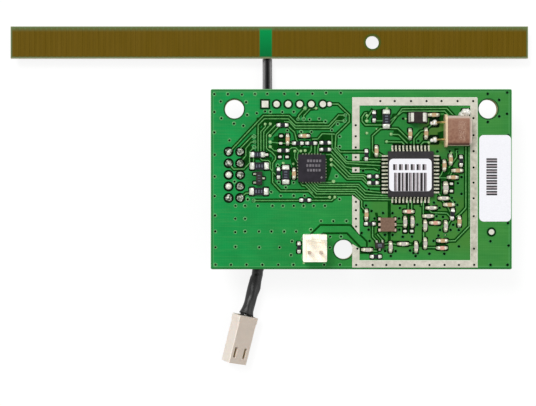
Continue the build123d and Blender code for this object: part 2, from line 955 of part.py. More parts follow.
with BuildPart() as plug_contacts:
    with BuildSketch(in_plug(contact_start)):
        with GridLocations(pin_pitch, 0, 2, 1):
            Rectangle(plug_cavity_width, plug_cavity_height)
    extrude(amount=contact_length)
    with BuildSketch(in_plug(contact_start + crimp_length)):
        with GridLocations(pin_pitch, 0, 2, 1):
            Rectangle(plug_cavity_width - 2 * contact_wall, plug_cavity_height - 2 * contact_wall)
    extrude(amount=contact_length - crimp_length, mode=Mode.SUBTRACT)

# Two wires from the end of the coaxial lead into the plug
with BuildPart() as lead_wires:
    with BuildSketch(in_plug(-wire_overlap)):
        with GridLocations(2 * wire_offset, 0, 2, 1):
            RegularPolygon(wire_diameter / 2, small_round_sides)
    extrude(amount=wire_overlap + contact_start)
    add(coax_jacket.part, mode=Mode.SUBTRACT)
    add(heat_shrink_sleeve.part, mode=Mode.SUBTRACT)


pieces = {
    "circuit_board": circuit_board,
    "shield_land": shield_land,
    "board_label": board_label,
    "radio_chip_body": radio_chip_body,
    "radio_chip_leads": radio_chip_leads,
    "radio_chip_label": radio_chip_label,
    "controller_chip_body": controller_chip_body,
    "controller_chip_pads": controller_chip_pads,
    "crystal_can": crystal_can,
    "crystal_base": crystal_base,
    "crystal_leads": crystal_leads,
    "crystal_solder": crystal_solder,
    "saw_filter_body": saw_filter_body,
    "saw_filter_pads": saw_filter_pads,
    "choke_body": choke_body,
    "choke_ends": choke_ends,
    "transistor_bodies": transistor_bodies,
    "transistor_leads": transistor_leads,
    "large_resistor_bodies": large_resistor_bodies,
    "large_resistor_ends": large_resistor_ends,
    "resistor_bodies": resistor_bodies,
    "resistor_ends": resistor_ends,
    "capacitor_bodies": capacitor_bodies,
    "capacitor_ends": capacitor_ends,
    "pale_capacitor_bodies": pale_capacitor_bodies,
    "pale_capacitor_ends": pale_capacitor_ends,
    "rf_coil_bodies": rf_coil_bodies,
    "rf_coil_ends": rf_coil_ends,
    "tinned_pads": tinned_pads,
    "spare_row_pads": spare_row_pads,
    "socket_body": socket_body,
    "socket_contacts": socket_contacts,
    "solder_joints": solder_joints,
    "header_body": header_body,
    "header_pins": header_pins,
    "header_solder": header_solder,
    "antenna_board": antenna_board,
    "antenna_winding_left": antenna_winding_left,
    "antenna_winding_right": antenna_winding_right,
    "antenna_solder": antenna_solder,
    "coax_braid": coax_braid,
    "coax_dielectric": coax_dielectric,
    "coax_core": coax_core,
    "coax_jacket": coax_jacket,
    "heat_shrink_sleeve": heat_shrink_sleeve,
    "lead_wires": lead_wires,
    "plug_housing": plug_housing,
    "plug_contacts": plug_contacts,
}

os.makedirs("parts", exist_ok=True)
for name, piece in pieces.items():
    piece.part.label = name
    export_step(piece.part, f"parts/{name}.step")
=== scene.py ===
"""The looks of an alarm radio module: a circuit board, its antenna strip and the lead between them.

Lengths are in millimetres until a mesh is made, where MM turns them into metres. Colours are red,
green and blue as a screen shows them, from 0 to 255. The board's traces and vias are placed by
pixels of the photograph, which at() turns into places on the board.
"""

import math

import bmesh
import bpy
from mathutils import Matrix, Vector


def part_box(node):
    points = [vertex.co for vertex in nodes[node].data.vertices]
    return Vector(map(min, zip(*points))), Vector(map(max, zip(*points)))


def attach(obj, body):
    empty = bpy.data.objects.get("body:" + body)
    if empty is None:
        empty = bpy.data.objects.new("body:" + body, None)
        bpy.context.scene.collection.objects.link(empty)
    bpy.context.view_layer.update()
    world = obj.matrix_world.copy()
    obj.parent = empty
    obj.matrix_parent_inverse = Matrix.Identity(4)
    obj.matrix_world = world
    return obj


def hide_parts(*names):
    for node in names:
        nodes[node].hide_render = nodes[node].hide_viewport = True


MM = 0.001

# The board in the part's frame
BOARD_LEFT = -12.9
BOARD_FRONT = -27.25
BOARD_LENGTH = 66.2
BOARD_WIDTH = 39.6
BOARD_TOP = 10.1

# The strip in the part's frame: its middle line, its hole, and the gap between its two windings
STRIP_Y = 23.65
STRIP_HALF_LENGTH = 58.5
STRIP_HALF_WIDTH = 3.6
STRIP_HOLE_X = 23.3
STRIP_GAP_X = -0.8

# The middle of the crystal's can, from the board's front left corner
CAN_X = 51.7
CAN_Y = 30.35

# The board in the photograph: its left edge, its front edge, and pixels to a millimetre each way
PHOTO_LEFT = 210.6
PHOTO_FRONT = 264.0
PHOTO_ACROSS = 4.55
PHOTO_DOWN = 4.275

# Thin layers are sunk a little into what they lie on, and those of the mask each stand a step above
# the one before, so that no two lie at the same height
SINK = 0.01
LAYER = 0.00006

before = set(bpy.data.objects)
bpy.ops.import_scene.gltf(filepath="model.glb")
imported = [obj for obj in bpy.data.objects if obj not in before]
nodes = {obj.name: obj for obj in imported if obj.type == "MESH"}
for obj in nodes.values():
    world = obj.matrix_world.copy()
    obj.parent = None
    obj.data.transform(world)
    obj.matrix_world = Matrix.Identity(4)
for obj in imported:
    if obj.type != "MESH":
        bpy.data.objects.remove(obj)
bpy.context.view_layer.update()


def at(px, py):
    """The place on the board that the photograph shows at a pixel."""
    x = BOARD_LEFT + (px - PHOTO_LEFT) / PHOTO_ACROSS
    y = BOARD_FRONT + (PHOTO_FRONT - py) / PHOTO_DOWN
    return x, y


def pixels(line):
    """The places on the board of a list of pixels, which gives their two numbers by turns."""
    return [at(px, py) for px, py in zip(line[::2], line[1::2])]


# Materials


def linear(colour):
    """A colour for a shader."""
    values = [value / 255 for value in colour]
    return *(v / 12.92 if v <= 0.04045 else ((v + 0.055) / 1.055) ** 2.4 for v in values), 1.0


def put(socket, value):
    """Links a value that varies, or sets one that doesn't."""
    if isinstance(value, Value):
        value.tree.links.new(value.socket, socket)
    else:
        socket.default_value = value


def add_node(tree, kind, output, inputs, **settings):
    """Adds a shader node, sets or links its inputs, and returns one of its outputs."""
    node = tree.nodes.new("ShaderNode" + kind)
    for name, value in settings.items():
        setattr(node, name, value)
    for key, value in inputs.items():
        put(node.inputs[key], value)
    return Value(tree, node.outputs[output])


class Value:
    """What a shader node gives out, and what can be worked out from it."""

    def __init__(self, tree, socket):
        self.tree = tree
        self.socket = socket

    def maths(self, operation, first, second=0.0):
        return add_node(self.tree, "Math", "Value", {0: first, 1: second}, operation=operation)

    def __add__(self, other):
        return self.maths("ADD", self, other)

    def __sub__(self, other):
        return self.maths("SUBTRACT", self, other)

    def __rsub__(self, other):
        return self.maths("SUBTRACT", other, self)

    def __mul__(self, other):
        return self.maths("MULTIPLY", self, other)

    def __abs__(self):
        return self.maths("ABSOLUTE", self)

    def least(self, other):
        return self.maths("MINIMUM", self, other)

    def most(self, other):
        return self.maths("MAXIMUM", self, other)

    def part(self, name):
        """One coordinate of a vector: X, Y or Z."""
        return add_node(self.tree, "SeparateXYZ", name, {"Vector": self})

    def spread(self, low, high, start=0.0, end=1.0):
        """Maps low to high onto start to end, and stops there."""
        inputs = {"Value": self, "From Min": low, "From Max": high, "To Min": start, "To Max": end}
        return add_node(self.tree, "MapRange", "Result", inputs)

    def window(self, low, high, soft):
        """1 from low to high and 0 outside, changing over twice soft."""
        return self.spread(low - soft, low + soft) * self.spread(high + soft, high - soft)

    def mix(self, first, second):
        """The first colour where this is 0, the second where it is 1."""
        first, second = (c if isinstance(c, Value) else linear(c) for c in (first, second))
        return add_node(self.tree, "Mix", 2, {"Factor": self, 6: first, 7: second}, data_type="RGBA")


class Finish:
    """A material whose nodes are added one step at a time. Places are in millimetres."""

    def __init__(self, name, roughness=0.5, metallic=0.0, specular=0.5):
        self.material = bpy.data.materials.new(name)
        self.material.use_nodes = True
        self.tree = self.material.node_tree
        self.shader = self.tree.nodes["Principled BSDF"].inputs
        put(self.shader["Roughness"], roughness)
        put(self.shader["Metallic"], metallic)
        put(self.shader["Specular IOR Level"], specular)
        place = add_node(self.tree, "TexCoord", "Object", {})
        self.place = add_node(self.tree, "Mapping", "Vector", {"Vector": place, "Scale": (1 / MM,) * 3})

    def plan(self):
        """The two level coordinates."""
        return self.place.part("X"), self.place.part("Y")

    def facing(self):
        """How far a face looks up: 1 on top, 0 on a side."""
        return add_node(self.tree, "NewGeometry", "True Normal", {}).part("Z")

    def noise(self, scale, detail, stretch=None):
        """Cloudy noise; stretch scales each direction by its own factor first."""
        place = self.place
        if stretch:
            place = add_node(self.tree, "Mapping", "Vector", {"Vector": place, "Scale": stretch})
        inputs = {"Vector": place, "Scale": scale, "Detail": detail}
        return add_node(self.tree, "TexNoise", "Fac", inputs)

    def clouds(self, scale, detail, shade, colour):
        """A colour that drifts between two."""
        return self.noise(scale, detail).spread(0.3, 0.7).mix(shade, colour)

    def cloth(self, pitch, distortion):
        """The weave of glass cloth: bands a pitch apart in both directions."""
        bands = []
        for direction in "XY":
            inputs = {"Vector": self.place, "Scale": math.pi / 10 / pitch, "Distortion": distortion}
            bands.append(add_node(self.tree, "TexWave", "Fac", inputs, bands_direction=direction))
        return bands[0] * bands[1]

    def inward(self, x, y, half_length, half_width):
        """How far a place is from the nearest side of a box about x and y."""
        own_x, own_y = self.plan()
        return (half_length - abs(own_x - x)).least(half_width - abs(own_y - y))

    def sawn(self, top, shade, colour):
        """The top's colour, but layers of glass where a board is sawn."""
        layers = self.noise(1.0, 3.0, (1.2, 1.2, 14.0)).spread(0.35, 0.65)
        return abs(self.facing()).spread(0.3, 0.6).mix(layers.mix(shade, colour), top)

    def done(self, colour, height, depth, roughness=None):
        """The material with its colour, uneven by a height that is depth millimetres at most."""
        put(self.shader["Base Color"], colour)
        if roughness:
            put(self.shader["Roughness"], roughness)
        inputs = {"Height": height, "Strength": 1.0, "Distance": depth * MM}
        put(self.shader["Normal"], add_node(self.tree, "Bump", "Normal", inputs))
        return self.material


# Where the mask looks darker or browner, between two corners in pixels of the photo
ZONES = [
    ((246, 124), (334, 190), 0.45, (24, 106, 40)),
    ((366, 106), (472, 152), 0.3, (20, 104, 40)),
    ((434, 152), (472, 214), 0.45, (44, 96, 34)),
    ((368, 196), (474, 246), 0.5, (72, 122, 44)),
    ((422, 120), (446, 152), 0.4, (104, 108, 34)),
    ((326, 230), (360, 264), 0.4, (44, 120, 40)),
]
ZONE_SOFTNESS = 1.2


def board_mask():
    """Green solder mask over copper and glass cloth, with a bare border and sawn edges. The outer rim of
    its top is a painted highlight, with painted shade along the front.
    """
    finish = Finish("circuit_board_mask", specular=0.15)
    x, y = finish.plan()
    lean = x.spread(BOARD_LEFT, BOARD_LEFT + BOARD_LENGTH)
    lean = lean - y.spread(BOARD_FRONT, BOARD_FRONT + BOARD_WIDTH, 0.0, 0.12)
    green = lean.spread(-0.05, 0.4).mix((0, 150, 72), (30, 140, 60))
    green = lean.spread(0.4, 0.85).mix(green, (60, 136, 56))
    green = finish.noise(0.3, 3.0).spread(0.3, 0.7, 0.0, 0.35).mix(green, (16, 118, 50))
    streaks = finish.noise(1.0, 3.0, (0.15, 2.6, 1.0))
    green = streaks.spread(0.45, 0.75, 0.0, 0.16).mix(green, (92, 168, 88))
    cloth = finish.cloth(0.55, 0.6)
    green = (cloth * 0.05).mix(green, (110, 190, 120))
    for corner, far_corner, amount, tint in ZONES:
        left, front = at(corner[0], far_corner[1])
        right, back = at(far_corner[0], corner[1])
        inside = x.window(left, right, ZONE_SOFTNESS) * y.window(front, back, ZONE_SOFTNESS)
        green = (inside * amount).mix(green, tint)
    half_length, half_width = BOARD_LENGTH / 2, BOARD_WIDTH / 2
    inward = finish.inward(BOARD_LEFT + half_length, BOARD_FRONT + half_width, half_length, half_width)
    green = inward.spread(0.42, 0.5, 0.75, 0.0).mix(green, (34, 112, 50))
    green = abs(inward - 0.6).spread(0.0, 0.16, 0.5, 0.0).mix(green, (96, 172, 104))
    # Painted highlight and shade: the outermost rim of the top is pale, and dark along the front edge.
    edge = y.spread(BOARD_FRONT + 0.3, BOARD_FRONT + 0.5).mix((44, 74, 40), (150, 206, 150))
    green = inward.spread(0.05, 0.16, 0.8, 0.0).mix(green, edge)
    rough = abs(finish.facing()).spread(0.3, 0.6, 0.75, 0.42)
    return finish.done(finish.sawn(green, (150, 150, 92), (196, 190, 138)), cloth, 0.004, rough)


def paper(name, colour):
    finish = Finish(name, roughness=0.55, specular=0.3)
    fibres = finish.noise(3.0, 6.0, (1.0, 3.0, 1.0))
    shade = [value * 0.965 for value in colour]
    return finish.done(fibres.spread(0.3, 0.7).mix(shade, colour), fibres, 0.004)


def metal(name, colour, shade, roughness, scale=2.0, depth=0.004, metallic=0.9):
    """Solder, tin or copper: cloudy brightness, and a roughness that comes and goes."""
    finish = Finish(name, metallic=metallic)
    cloud = finish.noise(scale, 4.0)
    rough = cloud.spread(0.3, 0.7, roughness * 1.3, roughness * 0.8)
    tone = cloud.spread(0.35, 0.65).mix(shade, colour)
    return finish.done(tone, finish.noise(scale * 3, 3.0), depth, rough)


def solder(name, colour, shade, depth=0.05):
    """Bright solder, each spot a little different from the next."""
    finish = Finish(name, metallic=0.3)
    patches = finish.noise(0.5, 1.0).spread(0.3, 0.7)
    cloud = finish.noise(2.6, 4.0).spread(0.4, 0.62)
    tone = (patches * 0.22).mix(cloud.mix(shade, colour), (150, 154, 140))
    return finish.done(tone, finish.noise(2.4, 4.0), depth, cloud.spread(0.0, 1.0, 0.42, 0.26))


def pocked_solder():
    """The dull, pitted solder of a joint that was made by hand."""
    finish = Finish("solder_pocked", metallic=0.5, roughness=0.4)
    tone = finish.noise(1.9, 4.0).spread(0.44, 0.58).mix((92, 100, 88), (238, 240, 228))
    return finish.done(tone, finish.noise(2.4, 4.0), 0.16)


def start_strip(name, shade, colour):
    """The strip's mask over its copper lines: olive brown, with faint fine lines across the strip."""
    finish = Finish(name, specular=0.06)
    x, y = finish.plan()
    brown = finish.noise(1.0, 2.0, (3.4, 0.04, 0.05)).spread(0.3, 0.7).mix(shade, colour)
    broad = finish.noise(0.35, 2.0, (1.0, 0.25, 1.0))
    brown = broad.spread(0.35, 0.7, 0.0, 0.35).mix(brown, (112, 88, 22))
    brown = y.spread(26.0, 26.8, 0.0, 0.85).mix(brown, (100, 112, 66))
    aside = x - STRIP_HOLE_X
    upward = y - STRIP_Y
    from_hole = x.maths("SQRT", aside * aside + upward * upward)
    return finish, from_hole.spread(1.75, 2.1, 0.8, 0.0).mix(brown, (64, 92, 34))


def strip_mask():
    """The strip's board: brown between its lines, green in the middle gap, and a grey-green border."""
    finish, tone = start_strip("antenna_mask", (98, 77, 2), (106, 84, 10))
    x, y = finish.plan()
    gap = y.spread(20.5, 26.5).mix((0, 112, 54), (0, 146, 74))
    tone = abs(x - STRIP_GAP_X).spread(1.3, 1.5, 1.0, 0.0).mix(tone, gap)
    inward = finish.inward(0.0, STRIP_Y, STRIP_HALF_LENGTH, STRIP_HALF_WIDTH)
    tone = inward.spread(0.3, 0.45, 0.9, 0.0).mix(tone, (94, 114, 76))
    tone = y.spread(26.3, 26.9, 0.0, 0.8).mix(tone, (104, 120, 76))
    tone = inward.spread(0.06, 0.14, 0.7, 0.0).mix(tone, (196, 196, 160))
    tone = finish.sawn(tone, (170, 158, 110), (214, 202, 160))
    return finish.done(tone, finish.cloth(0.5, 0.5), 0.004)


def winding_mask():
    finish, brown = start_strip("antenna_copper_mask", (99, 77, 2), (107, 85, 12))
    return finish.done(brown, finish.noise(6.0, 2.0), 0.003)


def land_tin():
    """Tinned copper that is matt and blotched, warm grey with paler grains."""
    finish = Finish("tinned_land", metallic=0.15, specular=0.35)
    x, y = finish.plan()
    cloud = finish.noise(0.9, 4.0)
    grains = finish.noise(3.6, 3.0)
    tin = cloud.spread(0.35, 0.65).mix((178, 176, 158), (216, 212, 196))
    tin = grains.spread(0.5, 0.72, 0.0, 0.55).mix(tin, (150, 146, 128))
    pale = y.spread(BOARD_FRONT + 34, BOARD_FRONT + 36.5, 0.0, 0.5)
    pale = pale.most(y.spread(BOARD_FRONT + 3, BOARD_FRONT + 1.4, 0.0, 0.3))
    pale = pale.most(x.spread(BOARD_LEFT + 34, BOARD_LEFT + 33, 0.0, 0.4))
    tin = pale.mix(tin, (232, 230, 216))
    return finish.done(tin, grains, 0.012, cloud.spread(0.3, 0.7, 0.55, 0.4))


def epoxy(name, colour, shade, roughness=0.5):
    """Moulded epoxy: dark, with the fine pits of a spark-worn mould."""
    finish = Finish(name, specular=0.25)
    rough = finish.noise(8.0, 2.0).spread(0.3, 0.7, roughness * 0.85, roughness * 1.15)
    return finish.done(finish.clouds(0.8, 3.0, shade, colour), finish.noise(16.0, 3.0), 0.008, rough)


def ceramic(name, colour, shade, roughness=0.4):
    """The fine-grained body of a chip part."""
    finish = Finish(name, roughness=roughness, specular=0.4)
    return finish.done(finish.clouds(2.4, 3.0, shade, colour), finish.noise(20.0, 2.0), 0.004)


def resistor_glass():
    """A resistor: dark glass over its top, and pale ceramic on its sides."""
    finish = Finish("resistor_glass", roughness=0.32, specular=0.4)
    dark = finish.clouds(2.5, 3.0, (12, 14, 20), (38, 38, 46))
    pale = finish.clouds(4.0, 2.0, (120, 116, 108), (150, 146, 136))
    tone = finish.facing().spread(0.5, 0.8).mix(pale, dark)
    return finish.done(tone, finish.noise(12.0, 3.0), 0.006)


def can_nickel():
    """The crystal's nickel can: warm and mottled, paler towards the back, with a worn patch. The dark lower
    brim is painted shade and the pale rims are painted highlights.
    """
    finish = Finish("crystal_nickel", metallic=0.25, specular=0.35)
    x, y = finish.plan()
    along = x - (BOARD_LEFT + CAN_X)
    across = y - (BOARD_FRONT + CAN_Y)
    cloud = finish.noise(1.6, 5.0)
    warm = cloud.spread(0.35, 0.65).mix((134, 92, 74), (160, 120, 98))
    warm = across.spread(-1.5, 2.5, 0.0, 0.35).mix(warm, (172, 134, 114))
    patch = along.window(2.4, 3.9, 0.2) * abs(across).spread(1.9, 2.3, 1.0, 0.0)
    specks = finish.noise(4.5, 3.0, (1.6, 0.9, 1.0)).spread(0.5, 0.6)
    warm = (patch * specks * 0.7).mix(warm, (196, 166, 148))
    # Painted shade along the front brim, and painted highlights along the front, back and right rims.
    for band, tint in (
        (across.spread(-2.9, -2.5, 0.95, 0.0), (70, 32, 20)),
        (across.spread(-3.2, -3.1, 1.0, 0.0), (196, 182, 160)),
        (across.spread(2.55, 2.9, 0.0, 0.9), (206, 190, 176)),
        (along.spread(4.7, 5.1, 0.0, 0.9), (224, 208, 196)),
    ):
        warm = band.mix(warm, tint)
    return finish.done(warm, finish.noise(5.0, 4.0), 0.01, cloud.spread(0.3, 0.7, 0.5, 0.36))


def plastic(name, colour, shade, roughness=0.42, painted_glow=0.0, side=None):
    """Moulded nylon: a little see-through, with a fine even grain. It can glow a little in its own colour,
    as painted light. The side colour goes on its steep faces and flat tops as painted light, and the faces
    tilted between them keep the darker colour as painted shade.
    """
    finish = Finish(name, roughness=roughness, specular=0.45)
    tone = finish.clouds(0.5, 3.0, shade, colour)
    # Painted light and shade: the side colour goes on the steep faces and the flat tops, and the faces
    # tilted between them stay darker.
    if side:
        facing = finish.facing()
        tone = facing.spread(0.75, 0.9).mix(side, tone)
        tone = facing.spread(0.85, 0.88).mix(tone, side)
    # A glow in the nylon's own colour: painted light that lifts its shade.
    put(finish.shader["Emission Color"], linear(colour))
    put(finish.shader["Emission Strength"], painted_glow)
    put(finish.shader["Subsurface Weight"], 0.15)
    put(finish.shader["Subsurface Radius"], (0.0006, 0.0004, 0.0003))
    put(finish.shader["Subsurface Scale"], 0.4)
    return finish.done(tone, finish.noise(10.0, 3.0), 0.006)


def jacket_black():
    """Black cable jacket, with a painted reflection in grey on its flanks, and faint drawing lines along
    it.
    """
    finish = Finish("coax_jacket_black", specular=0.16)
    lines = finish.noise(1.0, 2.0, (7.0, 0.25, 7.0))
    black = lines.spread(0.3, 0.7).mix((2, 2, 3), (7, 7, 8))
    # Painted reflection: the flanks are grey and the top stays black.
    tone = finish.facing().spread(0.7, 0.95).mix((160, 158, 160), black)
    return finish.done(tone, lines, 0.004, lines.spread(0.3, 0.7, 0.34, 0.42))


def sleeve_black():
    """Shrunk tubing: matt black that went a little grey where it is creased."""
    finish = Finish("shrunk_sleeve_black", specular=0.45)
    creases = finish.noise(0.9, 4.0)
    tone = creases.spread(0.4, 0.75).mix((8, 8, 8), (26, 25, 25))
    return finish.done(tone, finish.noise(2.2, 4.0), 0.03, creases.spread(0.3, 0.7, 0.36, 0.5))


def paint(name, colour, shade, roughness=0.4, specular=0.3):
    """Thin printed or masked layers: one colour that drifts a little."""
    finish = Finish(name, roughness=roughness, specular=specular)
    return finish.done(finish.clouds(1.5, 3.0, shade, colour), finish.noise(12.0, 2.0), 0.002)


# Meshes


class Box:
    """The box of a solid, from its two corners: its sides, its middle and its size."""

    def __init__(self, low, high):
        self.left, self.front, self.low = low
        self.right, self.back, self.high = high
        self.x = (self.left + self.right) / 2
        self.y = (self.front + self.back) / 2
        self.length = self.right - self.left
        self.width = self.back - self.front

    def grown(self, along, across=None):
        """Its left, front, right and back, moved outward."""
        across = along if across is None else across
        return self.left - along, self.front - across, self.right + along, self.back + across


def whole_box(name):
    """The box of a CAD node."""
    return Box(*([value / MM for value in corner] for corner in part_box(name)))


def islands(name):
    """The box of each separate solid in a CAD node."""
    bm = bmesh.new()
    bm.from_mesh(nodes[name].data)
    bmesh.ops.remove_doubles(bm, verts=bm.verts, dist=1e-6)
    seen = set()
    boxes = []
    for start in bm.verts:
        if start in seen:
            continue
        seen.add(start)
        found = [start]
        for vert in found:
            for edge in vert.link_edges:
                other = edge.other_vert(vert)
                if other not in seen:
                    seen.add(other)
                    found.append(other)
        sides = list(zip(*(vert.co for vert in found)))
        boxes.append(Box([min(side) / MM for side in sides], [max(side) / MM for side in sides]))
    bm.free()
    return boxes


def piece(name, bm, material, smooth=False, stands_for=None):
    """Turns a mesh in millimetres into a piece that rides with the part."""
    bmesh.ops.scale(bm, vec=(MM, MM, MM), verts=bm.verts)
    bmesh.ops.recalc_face_normals(bm, faces=bm.faces)
    for face in bm.faces:
        face.smooth = smooth
    mesh = bpy.data.meshes.new(name)
    bm.to_mesh(mesh)
    bm.free()
    obj = bpy.data.objects.new(name, mesh)
    bpy.context.collection.objects.link(obj)
    mesh.materials.append(material)
    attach(obj, "root")
    if stands_for:
        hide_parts(stands_for)
    return obj


def bridge(bm, rows, closed=True):
    """Faces from each row of points to the next."""
    for a, b in zip(rows, rows[1:]):
        for n in range(len(a) if closed else len(a) - 1):
            m = (n + 1) % len(a)
            bm.faces.new((a[n], a[m], b[m], b[n]))


def offsets(points, half):
    """The mitred points beside a line of points, on its left and on its right."""
    left = []
    right = []
    last = len(points) - 1
    for n, here in enumerate(points):
        before = here - points[n - 1] if n > 0 else points[1] - here
        after = points[n + 1] - here if n < last else before.copy()
        before.normalize()
        after.normalize()
        way = (before + after).normalized()
        side = Vector((-way.y, way.x))
        stretch = min(1 / max(side.dot(Vector((-after.y, after.x))), 0.4), 2.0)
        left.append(here + side * half * stretch)
        right.append(here - side * half * stretch)
    return left, right


def add_ribbon(bm, line, width, low, high, slope=0.04):
    """A flat line of metal or mask along pixels of the photo, with sloping sides."""
    points = [Vector(place) for place in pixels(line)]
    first_way = (points[0] - points[1]).normalized()
    last_way = (points[-1] - points[-2]).normalized()
    points[0] += first_way * width / 2
    points[-1] += last_way * width / 2
    outer = offsets(points, width / 2)
    inner = offsets(points, width / 2 - slope)
    rails = []
    for rail, height in ((outer[0], low), (inner[0], high), (inner[1], high), (outer[1], low)):
        rails.append([bm.verts.new((*place, height)) for place in rail])
    bridge(bm, rails, closed=False)
    for end in (0, -1):
        bm.faces.new([rail[end] for rail in rails])


def add_plate(bm, outline, low, high, slope=0.03):
    """A flat field with a sloping brim, round a list of corners."""
    points = [Vector(place) for place in outline]
    middle = sum(points, Vector((0, 0))) / len(points)
    bottom = [bm.verts.new((*place, low)) for place in outline]
    top = [bm.verts.new((*(p + (middle - p).normalized() * slope), high)) for p in points]
    bridge(bm, (bottom, top))
    bm.faces.new(top)


def add_box(bm, x0, y0, x1, y1, low, high):
    add_plate(bm, [(x0, y0), (x1, y0), (x1, y1), (x0, y1)], low, high, 0.01)


def rounded(sides, radius):
    """Corners of a box with round corners, from its left, front, right and back."""
    x0, y0, x1, y1 = sides
    radius = min(radius, (x1 - x0) / 2, (y1 - y0) / 2)
    steps = 4
    outline = []
    centres = [(x1 - radius, y1 - radius), (x0 + radius, y1 - radius)]
    centres += [(x0 + radius, y0 + radius), (x1 - radius, y0 + radius)]
    for quarter, (x, y) in enumerate(centres):
        for step in range(steps + 1):
            angle = math.pi / 2 * (quarter + step / steps)
            outline.append((x + radius * math.cos(angle), y + radius * math.sin(angle)))
    return outline


def add_turned(bm, x, y, profile, sides=20):
    """A round form on the board, from radii and heights; a last radius of 0 closes it."""
    rings = []
    for radius, height in profile:
        ring = []
        for n in range(sides if radius else 1):
            angle = 2 * math.pi * n / sides
            place = (x + radius * math.cos(angle), y + radius * math.sin(angle))
            ring.append(bm.verts.new((*place, BOARD_TOP + height)))
        rings.append(ring)
    tip = rings.pop() if len(rings[-1]) == 1 else None
    bridge(bm, rings)
    if tip:
        for n, vert in enumerate(rings[-1]):
            bm.faces.new((vert, rings[-1][(n + 1) % sides], tip[0]))


def add_mound(bm, x, y, base, profile, seed, uneven):
    """A lump of solder: a turned form whose rings aren't quite round or level."""
    sides = 18
    rings = []
    for radius, height in profile:
        ring = []
        for n in range(sides):
            angle = 2 * math.pi * n / sides
            lump = uneven * (math.sin(3 * angle + seed) + 0.6 * math.sin(5 * angle + 2.3 * seed))
            reach = radius * (1 + lump)
            rise = height * (1 + 2.2 * uneven * math.sin(2 * angle + 1.7 * seed))
            place = (x + reach * math.cos(angle), y + reach * math.sin(angle), base + rise)
            ring.append(bm.verts.new(place))
        rings.append(ring)
    bridge(bm, rings)
    bm.faces.new(rings[-1])


# A soldered end: how high it is along its length, and how high across its width
END_LENGTHWISE = ((0, 0), (0, 1), (0.3, 1), (0.48, 0.9), (0.66, 0.66), (0.82, 0.4), (0.94, 0.16), (1, 0))
END_CROSSWISE = ((-1, 0), (-0.96, 0.7), (-0.7, 0.96), (0, 1), (0.7, 0.96), (0.96, 0.7), (1, 0))
END_OVERHANG = 0.12


def add_end(bm, box, body, taper):
    """One end of a chip part: a cap against its body, and solder that runs down to a narrow tip."""
    centre = Vector((box.x, box.y))
    outward = centre - body
    if abs(outward.x) > abs(outward.y):
        along = Vector((math.copysign(1, outward.x), 0))
        length, half = box.length, box.width / 2
    else:
        along = Vector((0, math.copysign(1, outward.y)))
        length, half = box.width, box.length / 2
    across = Vector((-along.y, along.x))
    start = centre - along * length / 2
    length += END_OVERHANG
    rows = []
    for u, rise in END_LENGTHWISE:
        row = []
        for v, share in END_CROSSWISE:
            spot = start + along * length * u + across * half * v * (1.02 - taper * u ** 2.4)
            row.append(bm.verts.new((*spot, box.low + (box.high - box.low) * rise * share)))
        rows.append(row)
    bridge(bm, rows, closed=False)


def build_ends():
    """The soldered ends of all the chip parts."""
    white = solder("chip_end_tin", (255, 255, 246), (222, 226, 212))
    warm = solder("capacitor_end_tin", (250, 248, 226), (216, 212, 184))
    for kind, material, taper in (
        ("large_resistor", white, 0.12), ("resistor", white, 0.28), ("capacitor", warm, 0.38),
        ("pale_capacitor", warm, 0.42), ("rf_coil", warm, 0.5),
    ):
        bodies = [Vector((box.x, box.y)) for box in islands(kind + "_bodies")]
        bm = bmesh.new()
        for box in islands(kind + "_ends"):
            here = Vector((box.x, box.y))
            add_end(bm, box, min(bodies, key=lambda spot: (spot - here).length), taper)
        piece(kind + "_solder", bm, material, smooth=True, stands_for=kind + "_ends")


SMALL_PAD = 1.2


def build_pads():
    """Bare pads, each with a shallow dab of solder that doesn't reach its rim."""
    bm = bmesh.new()
    for box in islands("tinned_pads"):
        narrow, corner = (0.13, 0.2) if box.length < SMALL_PAD else (0.02, 0.9)
        add_plate(bm, rounded(box.grown(-0.02, -narrow), corner), box.low, box.high, 0.02)
        dab = rounded(box.grown(-0.1, -narrow - 0.06), corner)
        add_plate(bm, dab, box.high - 0.02, box.high + 0.04, 0.05)
    material = solder("pad_solder", (255, 255, 244), (226, 226, 206), 0.03)
    piece("pad_dabs", bm, material, stands_for="tinned_pads")


def build_laps():
    """The mask's laps over the rims of the round pads, and over the square one's four sides."""
    bm = bmesh.new()
    row = islands("spare_row_pads")
    square = min(row, key=lambda box: box.left)
    left, front, right, back = square.grown(0.26)
    low = BOARD_TOP - SINK
    high = square.high + 0.015
    add_box(bm, left, front, square.left + 0.12, back, low, high)
    add_box(bm, square.right - 0.12, front, right, back, low, high)
    add_box(bm, square.left + 0.1, front, square.right - 0.1, square.front + 0.12, low, high)
    add_box(bm, square.left + 0.1, square.back - 0.12, square.right - 0.1, back, low, high)
    round_pads = [(box, box.width / 2, (0.26, 0.24, 0.12, 0.14)) for box in row if box is not square]
    for box in islands("tinned_pads"):
        if abs(box.length - box.width) < 0.1:
            round_pads.append((box, box.length / 2, (0.3, 0.26, 0.24, 0.27)))
    for box, radius, (foot, brow, lip, inside) in round_pads:
        if radius > 0.6:
            high = box.high - BOARD_TOP
            lap = [(radius + foot, -SINK), (radius + brow, high + 0.01)]
            lap += [(radius - lip, high + 0.015), (radius - inside, high - 0.03)]
            add_turned(bm, box.x, box.y, lap, 28)
    piece("mask_laps", bm, paint("mask_lap", (10, 62, 20), (2, 36, 8), 0.5, 0.05))


def build_land_rims():
    """The raised rims along the shield land, painted pale as a painted highlight."""
    bm = bmesh.new()
    land = whole_box("shield_land")
    high = land.high + 0.012
    left, front, right, back = land.grown(-1.6)
    for x0, y0, x1, y1 in (
        (land.left, land.back - 0.14, land.right, land.back), (left, back - 0.2, right, back - 0.08),
        (land.right - 0.14, land.front, land.right, land.back), (right, front, right + 0.12, back - 0.2),
        (left, front - 0.12, right, front),
    ):
        add_box(bm, x0, y0, x1, y1, high - 0.03, high)
    # Their pale colour is a painted highlight along the land's edges.
    piece("land_rims", bm, paint("land_rim", (232, 240, 222), (212, 222, 200)))


